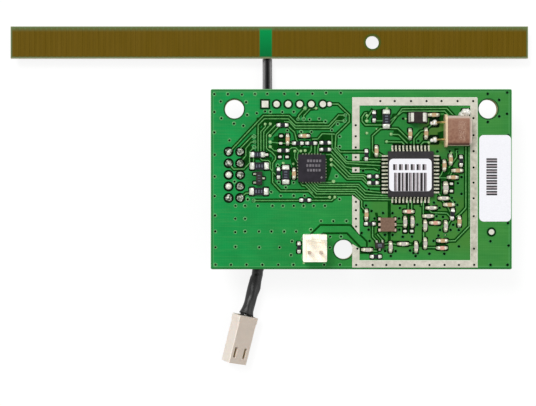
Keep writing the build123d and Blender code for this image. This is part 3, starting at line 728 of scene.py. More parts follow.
def build_marks():
    """Three faint bars on each large resistor and on each transistor."""
    bm = bmesh.new()
    for box in islands("large_resistor_bodies"):
        level = box.length > box.width
        half_x, half_y = (0.14, 0.34) if level else (0.34, 0.14)
        low, high = box.high - SINK, box.high + 0.008
        for shift in (-0.6, 0, 0.6):
            x = box.x + (shift if level else 0)
            y = box.y + (0 if level else shift)
            add_box(bm, x - half_x, y - half_y, x + half_x, y + half_y, low, high)
    for box in islands("transistor_bodies"):
        half_x = box.length * 0.22
        low, high = box.high - SINK, box.high + 0.006
        for n in (-1, 0, 1):
            y = box.y + box.width * 0.2 * n
            add_box(bm, box.x - half_x, y - 0.09, box.x + half_x, y + 0.09, low, high)
    marks = paint("resistor_mark", (118, 124, 136), (74, 78, 90), roughness=0.5)
    piece("resistor_marks", bm, marks)


def build_choke_tops():
    """The broad metal ends on the choke's top."""
    bm = bmesh.new()
    body = whole_box("choke_body")
    _, front, _, back = body.grown(-0.28)
    for outer, inner in ((body.left - 0.02, body.left + 0.62), (body.right - 0.62, body.right + 0.02)):
        add_plate(bm, rounded((outer, front, inner, back), 0.12), body.high - 0.03, body.high + 0.03)
    tin = metal("choke_top_tin", (246, 246, 234), (214, 214, 200), 0.34, metallic=0.2)
    piece("choke_end_tops", bm, tin)


SMOOTH_JOINTS = (4, 6)
JOINT_DOME = ((0.72, 0), (0.7, 0.2), (0.6, 0.42), (0.42, 0.58), (0.2, 0.66), (0.06, 0.67))
JOINT_LUMP = ((0.74, 0), (0.72, 0.1), (0.6, 0.2), (0.46, 0.34), (0.34, 0.6), (0.22, 0.72), (0.07, 0.74))


def build_joints():
    """The joints of the connector below: most are rough and grey, two are smooth and white."""
    rough = bmesh.new()
    smooth = bmesh.new()
    found = sorted(islands("solder_joints"), key=lambda box: (-round(box.front, 1), box.left))
    for n, box in enumerate(found):
        if n in SMOOTH_JOINTS:
            add_mound(smooth, box.x, box.y, box.low, JOINT_DOME, 1.3 * n, 0.015)
        else:
            add_mound(rough, box.x, box.y, box.low, JOINT_LUMP, 1.3 * n, 0.07)
    white = solder("solder_dome", (255, 255, 248), (226, 220, 200))
    piece("rough_joints", rough, pocked_solder(), smooth=True, stands_for="solder_joints")
    piece("smooth_joints", smooth, white, smooth=True, stands_for="solder_joints")


def build_crystal_solder():
    """Runny dabs on the crystal's two leads, and the big torn one behind its can."""
    bm = bmesh.new()
    for n, box in enumerate(islands("crystal_solder")):
        x, y, low = box.x, box.y, box.low
        if x < BOARD_LEFT + CAN_X - 0.7:
            dab = [(0.64, 0), (0.62, 0.14), (0.5, 0.36), (0.3, 0.5), (0.1, 0.54)]
            add_mound(bm, x + 0.1, y, low, dab, 2.0 + n, 0.05)
            tail = [(0.42, 0), (0.4, 0.14), (0.28, 0.3), (0.08, 0.34)]
            add_mound(bm, x - 0.55, y - 0.14, low, tail, 0.7 + n, 0.05)
            continue
        for shift_x, shift_y, size, seed in (
            (0.0, 0.1, 1.0, 1.0), (-1.1, -0.45, 0.66, 2.1), (0.35, 0.4, 0.62, 3.4), (-0.45, 0.2, 0.7, 4.4),
        ):
            lump = [(size, 0), (size * 0.97, 0.2), (size * 0.8, 0.5)]
            lump += [(size * 0.5, 0.72), (size * 0.15, 0.8)]
            add_mound(bm, x + shift_x, y + shift_y, low, lump, seed, 0.09)
    material = solder("dab_solder", (255, 255, 252), (236, 232, 222), 0.02)
    piece("crystal_dabs", bm, material, smooth=True, stands_for="crystal_solder")



# The board's copper, in pixels of the photograph: each two numbers are one pixel

# Traces left of the shield land
LEFT_TRACES = [
    [231.6, 151.5, 263.4, 119.6, 289, 119.6, 296.3, 126.4, 325, 126.4],
    [258, 152.5, 258, 128.6, 264.3, 122.6, 288.3, 122.6, 295.2, 129.2, 328.7, 129.2,
     338.6, 119.1, 345.2, 119.2],
    [284.5, 125.4, 289.5, 125.6, 295.2, 131.6, 329.6, 131.6, 336.4, 124.5, 344.5, 124.5],
    [329.4, 108.7, 338, 108.8, 349.2, 119, 349.2, 125.4, 335.9, 137.6, 335, 150.8,
     346.8, 163, 380, 163.2],
    [334, 137, 322.2, 136.7, 317.6, 141.6, 312.6, 141.8],
    [304.9, 112.8, 298.4, 119.8, 298.2, 122.9],
    [316, 112.8, 310, 113.2, 303.7, 119.6, 303.6, 122.9],
    [260.8, 152.5, 260.8, 134.6, 265.2, 130, 265.2, 127.6],
    [263.7, 152.5, 263.7, 134.8, 270.6, 127.8],
    [266.4, 150.6, 266.4, 137.4, 275.2, 128.6],
    [270.3, 138.2, 278.6, 129.9],
    [240.6, 150.2, 251.6, 139.4, 254, 139.2],
    [242.8, 160.6, 245.8, 157.4, 245.8, 150.4, 251, 144.6, 254.4, 144.2],
    [231.2, 167.2, 233.6, 169.9, 243.8, 169.8, 249.5, 164, 249.5, 153.6, 254.2, 149.3],
    [266.8, 150.6, 268.6, 152.2, 271.6, 153.6, 275.4, 157.8, 275.4, 160.6, 272.6, 164.4,
     272.6, 182.4, 280.4, 190.4, 308.8, 190.4, 315, 196.3, 329.3, 196.3],
    [260.4, 160.2, 262.2, 161.6, 268.4, 161.8, 270, 163.4, 270, 169.2, 275.2, 174.8],
    [242.4, 195.4, 245.6, 192.6, 250.4, 192.3],
    [253.6, 199.4, 300, 199.3],
    [311.5, 199.3, 331.5, 199.3, 334.8, 196.4],
    [289.6, 151.2, 291.8, 149.8, 295.8, 149.8, 298.6, 152.8, 297.4, 156.2, 297.4, 160.2],
    [294.7, 153, 294.6, 159.4, 297, 163.2, 298.6, 163.4],
    [311.2, 147.8, 311.2, 152.4, 309, 154.8, 308.8, 156.6],
    [314.9, 146.8, 314.8, 156.6],
    [318.6, 146.8, 317.6, 152.2, 317.6, 156.6],
    [331.8, 136.8, 332, 149.8, 346.2, 164.6, 380, 166.6],
    [330.4, 152.2, 345.4, 167.6, 352, 169.2, 374, 169.2, 377.4, 170.6],
    [326.4, 156.2, 330.8, 156.2, 350.6, 175.2, 363.6, 175.2, 367.4, 176.9],
    [333.4, 162, 348.8, 177, 363.4, 177, 367.8, 182.6],
    [333.4, 166, 347.2, 179.2, 362, 179.2, 368.8, 185.4, 379.8, 185.4],
    [336.6, 149.6, 340.2, 153.7, 366, 153.7],
    [317.5, 182.6, 319.2, 184.2, 358.6, 184.2, 365, 190.4, 380, 191.8],
    [314.6, 182.6, 318.2, 186.2, 357.4, 186.2, 365.4, 193.6, 390.2, 195],
    [311.6, 182.6, 318, 188.9, 356.2, 188.9, 364.6, 196.3, 392.6, 196.8],
    [308.6, 182.6, 316.8, 190.8, 355, 190.8, 363.6, 198.4, 395.4, 198.6],
    [305.7, 182.6, 316.4, 193.2, 354.4, 193.2, 361.6, 199.8, 361.6, 205.4, 364.6, 208.6],
    [300.6, 182.6, 302.4, 185, 305.2, 185.2, 312.6, 192.4],
    [320.5, 182.4, 331.6, 182.3],
    [270.6, 144.6, 281, 145.6, 294, 145.6],
    [270.6, 149.4, 274.2, 152.6, 279, 152.8],
    [289, 130.6, 294.6, 135.2, 296.4, 142.4, 300.2, 148.4],
    [253.4, 158, 253.4, 164],
]

# Traces inside the shield land
RIGHT_TRACES = [
    [384, 128.4, 365.3, 128.4, 362, 124.8, 362, 121, 364.8, 117.2, 366.5, 117],
    [384, 124.5, 376, 124.5],
    [371.8, 115, 366.5, 122.4],
    [390.2, 128, 402.2, 113, 446.8, 112.8, 452.6, 118.6],
    [390, 124.6, 402.6, 115.5, 444.6, 115.4, 448.4, 119.2],
    [383.6, 131.6, 380.2, 131.8, 372.4, 138.6, 372.4, 152.8, 376.4, 157.2, 381, 157.8],
    [388.4, 131.6, 397.6, 131.8, 409.2, 142.6],
    [391.2, 137.2, 398.6, 137.4, 407, 145.4],
    [386.5, 144.2, 401.8, 144.4, 404, 146.6],
    [413.9, 147.6, 413.9, 141.2, 420.2, 134.4, 425.6, 133, 431.6, 128.2],
    [434.2, 144.2, 423.4, 144.4, 421, 147],
    [363.8, 160.6, 381, 160.8],
    [376.4, 153.6, 382, 157],
    [456.4, 152.4, 456.4, 158.8, 449, 168.4],
    [443.4, 170.4, 441.2, 175, 438.6, 178, 447.6, 178.2],
    [452.4, 172, 449.6, 176.8],
    [465.8, 149.2, 465.8, 206.2, 460.8, 211.4, 456.4, 214.6],
    [469, 149.2, 469, 223.6, 455, 237.2, 448.4, 237.4],
    [437.6, 191.8, 440.2, 194.4],
    [449.6, 197.4, 453.6, 201.6],
    [423.4, 200.4, 423.2, 212.2],
    [408.2, 200.2, 408, 208.6],
    [411.6, 200.2, 411.6, 208.6],
    [440.4, 197.6, 447.6, 205.2, 450, 209.4],
    [428, 207.2, 431.6, 210.8, 446.6, 211.2, 451, 215.4],
    [372.4, 222.4, 372.6, 233.6, 376.6, 237.4],
    [377.4, 231.2, 380.2, 234.4, 382.6, 236.8],
    [396.4, 222.4, 402.6, 222.4],
    [396, 240.6, 390.6, 239.6, 384.6, 240.4],
    [406.4, 240.4, 410.6, 240.4],
    [423.6, 229.4, 423.6, 236.4],
    [426.6, 243.6, 436.4, 243.6],
    [376.4, 247, 367.4, 246.6],
    [452.6, 216.2, 449.4, 219.4, 446.6, 224.8],
    [421.4, 196.8, 421.4, 203.6],
]

# Broad lines of no copper, such as the brims of the wide trace to the lead's header
OPEN_LINES = [
    [308, 233.4, 320.2, 222.4, 350.3, 222.4, 366.8, 237.9, 366.8, 243.4],
    [321, 231.6, 323.3, 230.2, 346.9, 230.1, 360.7, 243.7, 360.7, 248.6, 370.2, 248.8],
    [389.2, 197.6, 389.2, 214.6],
    [389.2, 227.8, 389.2, 238],
    [390, 238, 404, 238],
    [389.6, 200.2, 401.6, 200.2],
]

# Fields with no copper under the mask
OPEN_FIELDS = [
    [256.4, 121.6, 266, 119.6, 298.6, 120.4, 300, 126.4, 288, 127, 262, 128.6, 256.4, 134.6],
    [270.6, 144.8, 298.4, 144.8, 298.4, 152.8, 276, 158.6, 270.6, 152],
    [292, 152, 300, 150, 300, 176, 294.6, 176],
    [250.8, 157.4, 272, 158.6, 272, 161.4, 250.8, 161.4],
    [387.6, 196.6, 390.8, 196.6, 390.8, 216.4, 387.6, 216.4],
    [387.6, 226.8, 390.8, 226.8, 390.8, 238.6, 387.6, 238.6],
    [262, 124.6, 284, 124.6, 288, 128.2, 282, 131.6, 262, 133.4],
    [259, 131, 267.8, 131, 267.8, 151.6, 259, 151.6],
    [273.4, 139.6, 281.6, 137, 288, 140, 288.4, 151, 277.6, 152, 273.4, 147],
    [246.6, 146, 251.6, 148, 251, 158, 246, 168.6, 238.6, 168.6, 238.6, 163],
    [268.4, 128.6, 277, 127, 277, 133, 268.4, 138],
    [288.6, 152.6, 297, 152.8, 297, 171, 292.6, 171, 290.2, 160],
    [299, 149.4, 310.2, 149.4, 310.2, 156.2, 299.6, 156.2],
    [312.2, 146.8, 333.4, 146.8, 333.4, 154.8, 312.2, 156.2],
    [326.2, 156.4, 331.6, 159, 331.6, 170, 327.6, 181.6, 326.2, 181.6],
    [317.6, 182.6, 333.4, 181.6, 333.4, 183.4, 320.4, 183.4],
    [316, 194, 335.2, 194.2, 335.2, 198.2, 318.4, 198.2, 313.8, 195.4],
    [320, 138, 334.4, 138, 334.4, 147.6, 316, 147.6, 315.4, 143],
    [337.8, 120.4, 345, 119.6, 345, 124.2, 337, 124.8],
    [370, 151, 376, 151, 376, 161.8, 370, 161.8],
    [372.4, 153.8, 379.6, 157, 379.6, 161.8, 371.6, 161.8],
    [393.4, 133.6, 398.6, 133.6, 404.4, 139.4, 399.6, 140.6, 393.4, 139.4],
    [392.4, 117.6, 399.4, 117.4, 393.4, 124.6, 390.6, 123.6],
    [376, 113.8, 383, 113, 383, 126, 376.8, 126.2, 376.4, 121],
    [404, 118, 407, 115.6, 437, 115.6, 437, 118],
    [440, 167, 451.6, 162.2, 453.4, 168, 444.6, 177.6, 440.2, 177],
    [441, 180.4, 454.6, 180.4, 454.6, 183, 441, 183],
    [448, 184.6, 454.4, 184.6, 454.4, 191.6, 448, 191.6],
    [438, 193.4, 449.6, 193.4, 449.6, 196, 441, 196],
    [444, 198.6, 453, 198.6, 453, 202.8, 444, 202.8],
    [424, 206.4, 431, 209.6, 431, 212.4, 424, 212.4],
    [426, 216.4, 434.6, 216.4, 434.6, 218.4, 426, 218.4],
    [407, 210.6, 410.6, 210.6, 410.6, 229.8, 407, 229.8],
    [402.6, 212, 404.4, 212, 404.4, 229.8, 402.6, 229.8],
    [374.6, 210.6, 377.6, 210.6, 380.4, 228, 378.6, 228],
    [361.8, 199.6, 363.6, 199.6, 363.6, 212, 361.8, 210.6],
    [435.4, 236.8, 446.4, 236.8, 446.4, 242.6, 435.4, 242.6],
    [418.4, 240.8, 423, 235.8, 423, 243, 418.4, 243.4],
    [436.4, 119, 446, 119, 446, 124.8, 436, 124.8],
    [437.4, 135.4, 445.4, 133.4, 445.4, 143.4, 437.4, 143.4],
]

# Vias with a dark eye and a paler ring
VIAS = [
    214.2, 99.4, 227.8, 99.4, 241.9, 99.8, 254.9, 99.3, 267.2, 99.2, 284.3, 99.2, 297.5, 99,
    312.4, 99, 326, 98.2, 340.8, 98.2, 220.7, 106.3, 246.1, 107, 214.2, 116.2, 221.3, 122.1,
    247.1, 118.9, 256.7, 117.4, 233.9, 127.1, 243.3, 129.2, 265, 115.6, 270.3, 116,
    282.2, 116.2, 293.7, 116, 304.9, 112.6, 298.2, 122.9, 303.6, 122.9, 309.5, 123.3,
    319.1, 122.7, 325.3, 125.2, 345.2, 119.3, 344.6, 124.4, 337.7, 127.5, 331.8, 133.3,
    214.2, 135.4, 229.4, 142.8, 214.6, 156.4, 254, 139.2, 254.4, 144.2, 254.2, 149.3,
    270.1, 144.4, 287.3, 133.6, 301.1, 135, 311.4, 135, 339.6, 139.2, 339.6, 148.8,
    346.5, 158.5, 336.4, 176.5, 339.4, 198.1, 277.6, 166.4, 278.7, 182.2, 293.5, 182.6,
    285.8, 187, 271.1, 191.4, 280.8, 195, 293.7, 195, 304.6, 194.9, 214.6, 176.9,
    234.5, 181.6, 214.6, 195.2, 247.7, 198.3, 253.6, 199.4, 235.4, 204.4, 245, 204.4,
    257.7, 204.4, 272.4, 204.4, 282.9, 204.4, 293.7, 204.4, 303.5, 204.4, 313.6, 204.4,
    324.9, 204.4, 214.9, 213.5, 235.2, 216.5, 245, 216.5, 215.2, 228.5, 235.2, 229.1,
    245, 228.5, 258.9, 228.5, 271.4, 228.5, 284.1, 228.5, 296.1, 228.5, 310.8, 226.8,
    320.9, 218.7, 333.2, 218.7, 346.4, 218.7, 215.4, 243.4, 235.4, 242.8, 259.2, 243.4,
    279.6, 243.4, 215.4, 259.8, 230.9, 259.8, 246.5, 259.8, 262.3, 259.8, 278.2, 259.8,
    293.3, 259.8, 324.1, 259.8, 339.9, 259.8, 490.4, 259.8, 507.4, 259.8, 292, 237.7,
    291, 250.6, 330, 233.3, 340.9, 233.3, 329.8, 243.6, 302.6, 235.4, 303.4, 252.5,
    487.7, 99.2, 499, 104.9, 499.2, 120.4, 507, 117.9, 507.2, 98, 487.7, 125.6,
    508.2, 138.2, 507.8, 220.5, 508.5, 241.7, 490.4, 237.7, 386.7, 112.8, 403, 122.5,
    391.1, 136.9, 386.5, 144.2, 366.6, 136.1, 418.2, 143.4, 437.3, 153.3, 449.8, 153.3,
    363, 171.3, 368.6, 189.5, 365.9, 204.1, 371.4, 209.2, 382.9, 211.2, 392.5, 211.3,
    399.8, 206.5, 433.9, 201.4, 439.4, 206.4, 451.7, 196.8, 454.4, 201, 457.2, 203.5,
    457.8, 183.2, 461.4, 177.3, 461.4, 193.2, 436.4, 214.2, 442.9, 214.8, 453, 222.2,
    440, 227, 450.4, 227, 458.6, 227.2, 438.3, 232.4, 445.2, 231.8, 433.5, 237.4,
    458.8, 242.5, 429.3, 249.4, 444.2, 249.4, 415.5, 251.5, 411.9, 233.2, 374.5, 216.3,
    399, 216.3, 368.6, 226.8, 361.5, 229.9, 384.8, 231.6, 392.5, 231.8, 399.2, 226.8,
    402.6, 233.5, 369.5, 237.4, 385, 246.9, 395.5, 246.9, 390.8, 251.5, 410, 246.4,
    413.4, 248.7, 417.6, 248.7, 417.1, 222.1, 457, 153.6,
]

# Small bare pads where a via is filled or a probe touches, with their size across in pixels
DOTS = [
    (265.1, 127.6, 3.4), (270.2, 127.4, 3.6), (269.9, 138.6, 3.6), (270.1, 144.4, 3.4), (270.2, 148.9, 3.6),
    (278.6, 128.9, 3.4), (280.6, 145.8, 2.4), (329.4, 108.7, 2.8), (294.8, 153, 3.4), (300.8, 152.9, 3.4),
    (305.1, 152.5, 3.6), (331, 161, 3.8), (331.2, 165.8, 3.8), (333.4, 181.4, 4.2), (329.6, 196.3, 3.4),
    (334.8, 196.2, 3.6), (367, 119.6, 3.6), (366.8, 124.6, 3.8), (366.8, 136, 3.4), (386.6, 144, 3.2),
    (391, 137, 3.4), (293.2, 165, 2.8), (283.2, 164.2, 3.2), (304.8, 112.6, 3), (316, 112.6, 3.4),
    (302.4, 109, 2), (405.6, 122.6, 2.2), (445.2, 231.8, 1.8), (303.6, 258.2, 2.6), (386.8, 112.8, 3),
    (376.4, 132.2, 1.8), (428.8, 144.8, 3.2), (451.2, 154.6, 3),
]

# Vias in the shield land
LAND_VIAS = [
    355.6, 128.7, 355.6, 139, 355.6, 149.5, 355.6, 158.7, 355.6, 170.8, 355.8, 200.6,
    355.8, 208.5, 355.9, 216.5, 355.9, 223.8, 357.3, 244.6, 380.2, 106, 394.6, 106,
    410.9, 106, 426.4, 106, 441.4, 106, 457.4, 106, 473, 106, 473.3, 122,
    473.4, 138, 473.4, 153, 473.4, 168.4, 473.4, 182.6, 473.5, 197.3, 473.6, 214.1,
    473.8, 244.6, 474, 259.8, 356.1, 259.9, 372.5, 259.9, 386.2, 259.9, 399.8, 259.9,
    414.4, 259.9, 429.3, 259.9, 444.4, 259.9, 458.8, 259.9,
]

TRACE_WIDTH = 0.21
OPEN_WIDTH = 0.94
OPEN_LINE_WIDTH = 0.46
RADIO_LEFT = at(352, 0)[0]


def build_openings():
    """Darker lines and fields of the mask, where there is no copper under it."""
    bm = bmesh.new()
    level = BOARD_TOP + 0.003
    for lines, width in ((LEFT_TRACES + RIGHT_TRACES, OPEN_WIDTH), (OPEN_LINES, OPEN_LINE_WIDTH)):
        for line in lines:
            level += LAYER
            add_ribbon(bm, line, width, BOARD_TOP - SINK, level, 0.02)
    for field in OPEN_FIELDS:
        level += LAYER
        add_plate(bm, pixels(field), BOARD_TOP - SINK, level)
    green = paint("mask_over_glass", (8, 74, 12), (2, 54, 8), 0.5, 0.04)
    piece("mask_openings", bm, green)


def build_traces():
    """The traces, each raised a little along the middle of a darker line."""
    bm = bmesh.new()
    for line in LEFT_TRACES + RIGHT_TRACES:
        add_ribbon(bm, line, TRACE_WIDTH, BOARD_TOP + 0.004, BOARD_TOP + 0.035)
    green = paint("mask_over_trace", (112, 178, 104), (76, 150, 78), specular=0.2)
    piece("mask_traces", bm, green)


def build_vias():
    """Vias as rings with a dark eye, fainter in the radio's half, and small filled ones."""
    rings, radio_rings, eyes, filled = (bmesh.new() for _ in range(4))
    for n, (x, y) in enumerate(pixels(VIAS)):
        radio = x > RADIO_LEFT
        eye = 0.3 if radio else 0.25
        grow = 1 + 0.08 * math.sin(n * 2.4)
        ring = [(0.46 * grow, -SINK), (0.42 * grow, 0.025), (0.34, 0.036)]
        ring += [(eye + 0.02, 0.026), (eye - 0.02, 0.012)]
        add_turned(radio_rings if radio else rings, x, y, ring)
        add_turned(eyes, x, y, [(eye, 0.016), (0.14, 0.006), (0, 0.006)], 14)
    for x, y in pixels(LAND_VIAS):
        add_turned(eyes, x, y, [(0.25, 0.1), (0.22, 0.106), (0, 0.102)], 14)
    for px, py, across in DOTS:
        radius = across * 0.43 / PHOTO_ACROSS
        dot = [(radius, -SINK), (radius * 0.85, 0.035), (radius * 0.5, 0.045), (0, 0.03)]
        add_turned(filled, *at(px, py), dot)
    green = paint("mask_over_via", (104, 172, 108), (72, 146, 82), specular=0.2)
    faint = paint("mask_over_radio_via", (62, 140, 72), (34, 112, 48), 0.45, 0.15)
    dark = paint("via_eye", (2, 26, 4), (0, 14, 2), 0.7, 0.02)
    bare = metal("filled_via", (168, 204, 140), (112, 168, 100), 0.45, scale=5.0, metallic=0.1)
    piece("via_rings", rings, green, smooth=True)
    piece("radio_via_rings", radio_rings, faint, smooth=True)
    piece("via_eyes", eyes, dark, smooth=True)
    piece("filled_vias", filled, bare, smooth=True)


HALO_MARGINS = {
    "resistor_ends": 0.3, "large_resistor_ends": 0.34, "capacitor_ends": 0.3, "pale_capacitor_ends": 0.3,
    "rf_coil_ends": 0.3, "choke_ends": 0.34, "saw_filter_pads": 0.3, "crystal_solder": 0.3,
    "transistor_leads": 0.3, "controller_chip_pads": 0.12,
}
LEADS_REACH = 1.75


def build_halos():
    """Dark fields round each pad and joint, and under each row of leads. They are partly the bare glass of
    the mask's clearances and partly painted shade round the parts and under the leads. Round the joints
    they are painted shade for the dark reflections on their sides.
    """
    bm = bmesh.new()
    level = 0.011
    chip = whole_box("radio_chip_body")
    left, front, right, back = chip.grown(LEADS_REACH)
    first_x, first_y, last_x, last_y = chip.grown(-1.0)
    # Painted shade under the rows of leads, over the bare glass between them.
    for sides in (
        (left, first_y, chip.left + 0.3, last_y), (chip.right - 0.3, first_y, right, last_y),
        (first_x, front, last_x, chip.front + 0.3), (first_x, chip.back - 0.3, last_x, back),
    ):
        level += LAYER
        add_plate(bm, rounded(sides, 0.3), BOARD_TOP - SINK, BOARD_TOP + level, 0.01)
    outlines = []
    for name, margin in HALO_MARGINS.items():
        outlines += [rounded(box.grown(margin), 0.4) for box in islands(name)]
    for box in islands("tinned_pads"):
        outlines.append(rounded(box.grown(0.26), 0.9 if box.length > SMALL_PAD else 0.25))
    for outline in outlines:
        level += LAYER / 2
        add_plate(bm, outline, BOARD_TOP - SINK, BOARD_TOP + level, 0.01)
    # Round each joint, a dark ring of painted shade for the dark reflections on its steep sides, over the
    # mask's clearance.
    for name, margin in (("solder_joints", 0.34), ("spare_row_pads", 0.28)):
        for box in islands(name):
            if box.length > 0.5:
                radius = box.width / 2 + margin
                level += LAYER / 2
                add_turned(bm, box.x, box.y, [(radius, -SINK), (radius - 0.02, level), (0, level)])
    # The dark colour is both the bare glass and painted shade.
    dark = paint("clearance_with_painted_shade", (8, 34, 8), (4, 20, 4), 0.6, 0.03)
    piece("clearances_with_painted_shade", bm, dark)


# The mounting holes, from the board's front left corner
HOLES = ((5.2, 35.25), (61.0, 35.25), (29.2, 4.35))


def build_hole_rings():
    """A thin dark brim of bare glass round each mounting hole."""
    bm = bmesh.new()
    for x, y in HOLES:
        brim = [(2.105, 0.0), (2.115, 0.012), (2.38, 0.012), (2.4, -SINK)]
        add_turned(bm, BOARD_LEFT + x, BOARD_FRONT + y, brim, 64)
    piece("hole_brims", bm, paint("hole_brim", (30, 92, 40), (16, 70, 26), 0.5, 0.15))


LABEL_TOP = BOARD_TOP + 0.1
RADIO_LABEL_TOP = BOARD_TOP + 1.2
CONTROLLER_TOP = BOARD_TOP + 0.9
BAR_SHARES = (0.3, 0.62, 0.34, 0.7, 0.28, 0.44, 0.3, 0.62, 0.4)


def build_prints():
    """Labels and chips without print: fields of grey and simple bars stand where it would be."""
    dark, pale, laser = (bmesh.new() for _ in range(3))

    # Main label: one column of plain bars with grey between them
    low, high = LABEL_TOP - SINK, LABEL_TOP + 0.012
    x0, y0 = at(486.2, 195.0)
    x1, y1 = at(497.0, 159.2)
    step = (y1 - y0) / 7
    bar = step * 0.27
    for n in range(7):
        front = y0 + (n + 0.1) * step
        back = front + step * 0.8
        add_box(dark, x0, front, x1, front + bar, low, high)
        add_box(dark, x0, back - bar, x1, back, low, high)
        add_box(pale, x0, front + bar - 0.02, x1, back - bar + 0.02, low, LABEL_TOP + 0.01)

    # Label on the radio chip: a row of blocks over upright bars
    low, high = RADIO_LABEL_TOP - SINK, RADIO_LABEL_TOP + 0.01
    x0, y0 = at(392.0, 171.0)
    x1, y1 = at(427.0, 165.4)
    step = (x1 - x0) / 6
    for n in range(6):
        left = x0 + n * step + 0.1
        right = x0 + (n + 1) * step - 0.3
        middle = (left + right) / 2
        add_box(dark, left, y0, middle, y1, low, high + 0.002)
        add_box(pale, middle - 0.02, y0, right, y1, low, high)
    x0, y0 = at(393.4, 190.6)
    x1, y1 = at(426.6, 173.4)
    step = (x1 - x0) / len(BAR_SHARES)
    for n, share in enumerate(BAR_SHARES):
        left = x0 + n * step
        add_box(pale, left, y0, left + step * 0.86, y1, low, high)
        add_box(dark, left + step * 0.08, y0, left + step * (0.08 + share), y1, low, high + 0.004)

    # Faint blocks on the controller, and the mark of its first pin
    low, high = CONTROLLER_TOP - 0.006, CONTROLLER_TOP + 0.004
    rows = ((306.6, 321.4, 162.2), (305.8, 320.6, 166.6), (306.6, 320.8, 171.0))
    for row, (start, end, py) in enumerate(rows):
        step = (end - start) / 5
        for n in range(5):
            x0, y0 = at(start + n * step + 0.3, py + 1.2)
            x1, y1 = at(start + (n + 1) * step - 0.4 - 0.3 * ((n + row) % 2), py - 1.2)
            add_box(laser, x0, y0, x1, y1, low, high)
    add_turned(laser, *at(321.3, 177.9), [(0.24, 0.894), (0.2, 0.904), (0, 0.906)], 16)

    for name, bm, colour, shade, slot, material in (
        ("label_ink", dark, (30, 28, 30), (44, 42, 44), "label_paper", "printed_ink"),
        ("label_grey_ink", pale, (186, 178, 182), (160, 152, 156), "label_paper", "faded_ink"),
        ("chip_marks", laser, (136, 132, 136), (96, 92, 98), "chip_moulding", "laser_mark"),
    ):
        piece(name, bm, paint(material, colour, shade, 0.6, 0.2))


# Dressing the CAD nodes


def dress(name, material, bevel=0.0):
    """Gives a CAD node its finish, and rounds its brims a little."""
    obj = nodes[name]
    for slot in obj.material_slots:
        slot.material = material
    if bevel:
        edge = obj.modifiers.new("brims", "BEVEL")
        edge.width = bevel * MM
        edge.segments = 2
        edge.limit_method = "ANGLE"
        edge.angle_limit = math.radians(40)


def dress_nodes():
    label = paper("label_paper", (250, 250, 255))
    glass = resistor_glass()
    winding = winding_mask()
    bright = metal("solder_bright", (240, 244, 236), (196, 204, 190), 0.26, scale=1.6, depth=0.03)
    dress("circuit_board", board_mask())
    dress("shield_land", land_tin(), 0.02)
    dress("board_label", label)
    dress("radio_chip_label", label)
    dress("radio_chip_body", epoxy("radio_chip_epoxy", (50, 47, 50), (38, 35, 38)))
    leads = metal("lead_tin", (234, 234, 212), (168, 168, 146), 0.34, scale=3.0, metallic=0.15)
    dress("radio_chip_leads", leads)
    dress("controller_chip_body", epoxy("controller_epoxy", (42, 38, 46), (30, 27, 34), 0.42))
    dress("controller_chip_pads", metal("pad_tin", (170, 184, 150), (120, 140, 108), 0.4))
    dress("crystal_can", can_nickel())
    dress("crystal_base", metal("crystal_brim", (244, 220, 184), (226, 196, 160), 0.38, metallic=0.4))
    dress("crystal_leads", metal("crystal_lead", (226, 204, 140), (190, 164, 100), 0.3))
    dress("saw_filter_body", ceramic("filter_lid", (132, 104, 86), (112, 86, 70), 0.35))
    dress("saw_filter_pads", metal("filter_gold", (252, 236, 218), (232, 206, 184), 0.34, metallic=0.25))
    dress("choke_body", epoxy("choke_epoxy", (48, 40, 36), (28, 22, 20), 0.45))
    dress("choke_ends", metal("choke_tin", (244, 244, 232), (210, 210, 196), 0.3))
    dress("transistor_bodies", epoxy("transistor_epoxy", (52, 46, 42), (24, 22, 20)))
    dress("transistor_leads", metal("transistor_tin", (226, 232, 214), (180, 188, 168), 0.32))
    dress("large_resistor_bodies", glass, 0.03)
    dress("resistor_bodies", glass, 0.03)
    dress("capacitor_bodies", ceramic("capacitor_tan", (206, 176, 136), (184, 150, 110)), 0.04)
    dress("pale_capacitor_bodies", ceramic("capacitor_pale", (206, 200, 190), (182, 176, 168)), 0.04)
    dress("rf_coil_bodies", ceramic("coil_pink", (226, 176, 156), (208, 150, 130)), 0.04)
    row = metal("filled_row", (248, 248, 234), (216, 216, 200), 0.34, scale=1.6, metallic=0.15, depth=0.02)
    dress("spare_row_pads", row)
    dress("header_solder", bright)
    dress("socket_body", epoxy("socket_nylon", (34, 34, 36), (22, 22, 24)))
    dress("socket_contacts", metal("contact_gold", (222, 186, 96), (190, 152, 66), 0.28))
    # The header glows a little in its own colour, as painted light.
    dress("header_body", plastic("header_nylon", (255, 250, 236), (254, 244, 226), painted_glow=0.2), 0.08)
    dress("header_pins", metal("header_tin", (224, 204, 188), (196, 172, 154), 0.4, metallic=0.2))
    dress("antenna_board", strip_mask())
    dress("antenna_winding_left", winding)
    dress("antenna_winding_right", winding)
    dress("antenna_solder", bright)
    dress("coax_braid", metal("braid_copper", (214, 196, 176), (160, 130, 104), 0.4, scale=6.0))
    dress("coax_dielectric", plastic("cable_insulation", (238, 236, 228), (226, 224, 214)))
    dress("coax_core", metal("core_copper", (206, 142, 104), (176, 110, 76), 0.3))
    dress("lead_wires", plastic("wire_jacket", (20, 19, 19), (12, 12, 12)))
    # The plug's side faces are painted lighter and its tilted front darker: painted light and shade.
    nylon = plastic("plug_nylon", (170, 152, 134), (156, 138, 120), 0.45, side=(250, 238, 226))
    dress("plug_housing", nylon, 0.06)
    dress("plug_contacts", metal("plug_tin", (132, 112, 62), (96, 78, 38), 0.45, metallic=0.3))


# The lead


LEAD_DIAMETER = 2.2
ROUTE = [
    (-0.45, 20.05, 1.1), (-0.4, 4.5, 1.1), (-0.95, -13.4, 1.25),
    (-2.25, -26.6, 1.4), (-3.65, -32.7, 1.65), (-5.1, -37.5, 2.5),
]
SLEEVE_START_Y = -22.9
SLEEVE_MOUTH = 0.4
SLEEVE_RADIUS = 1.35
SLEEVE_END_RADIUS = 1.65
SLEEVE_WALL = 0.22


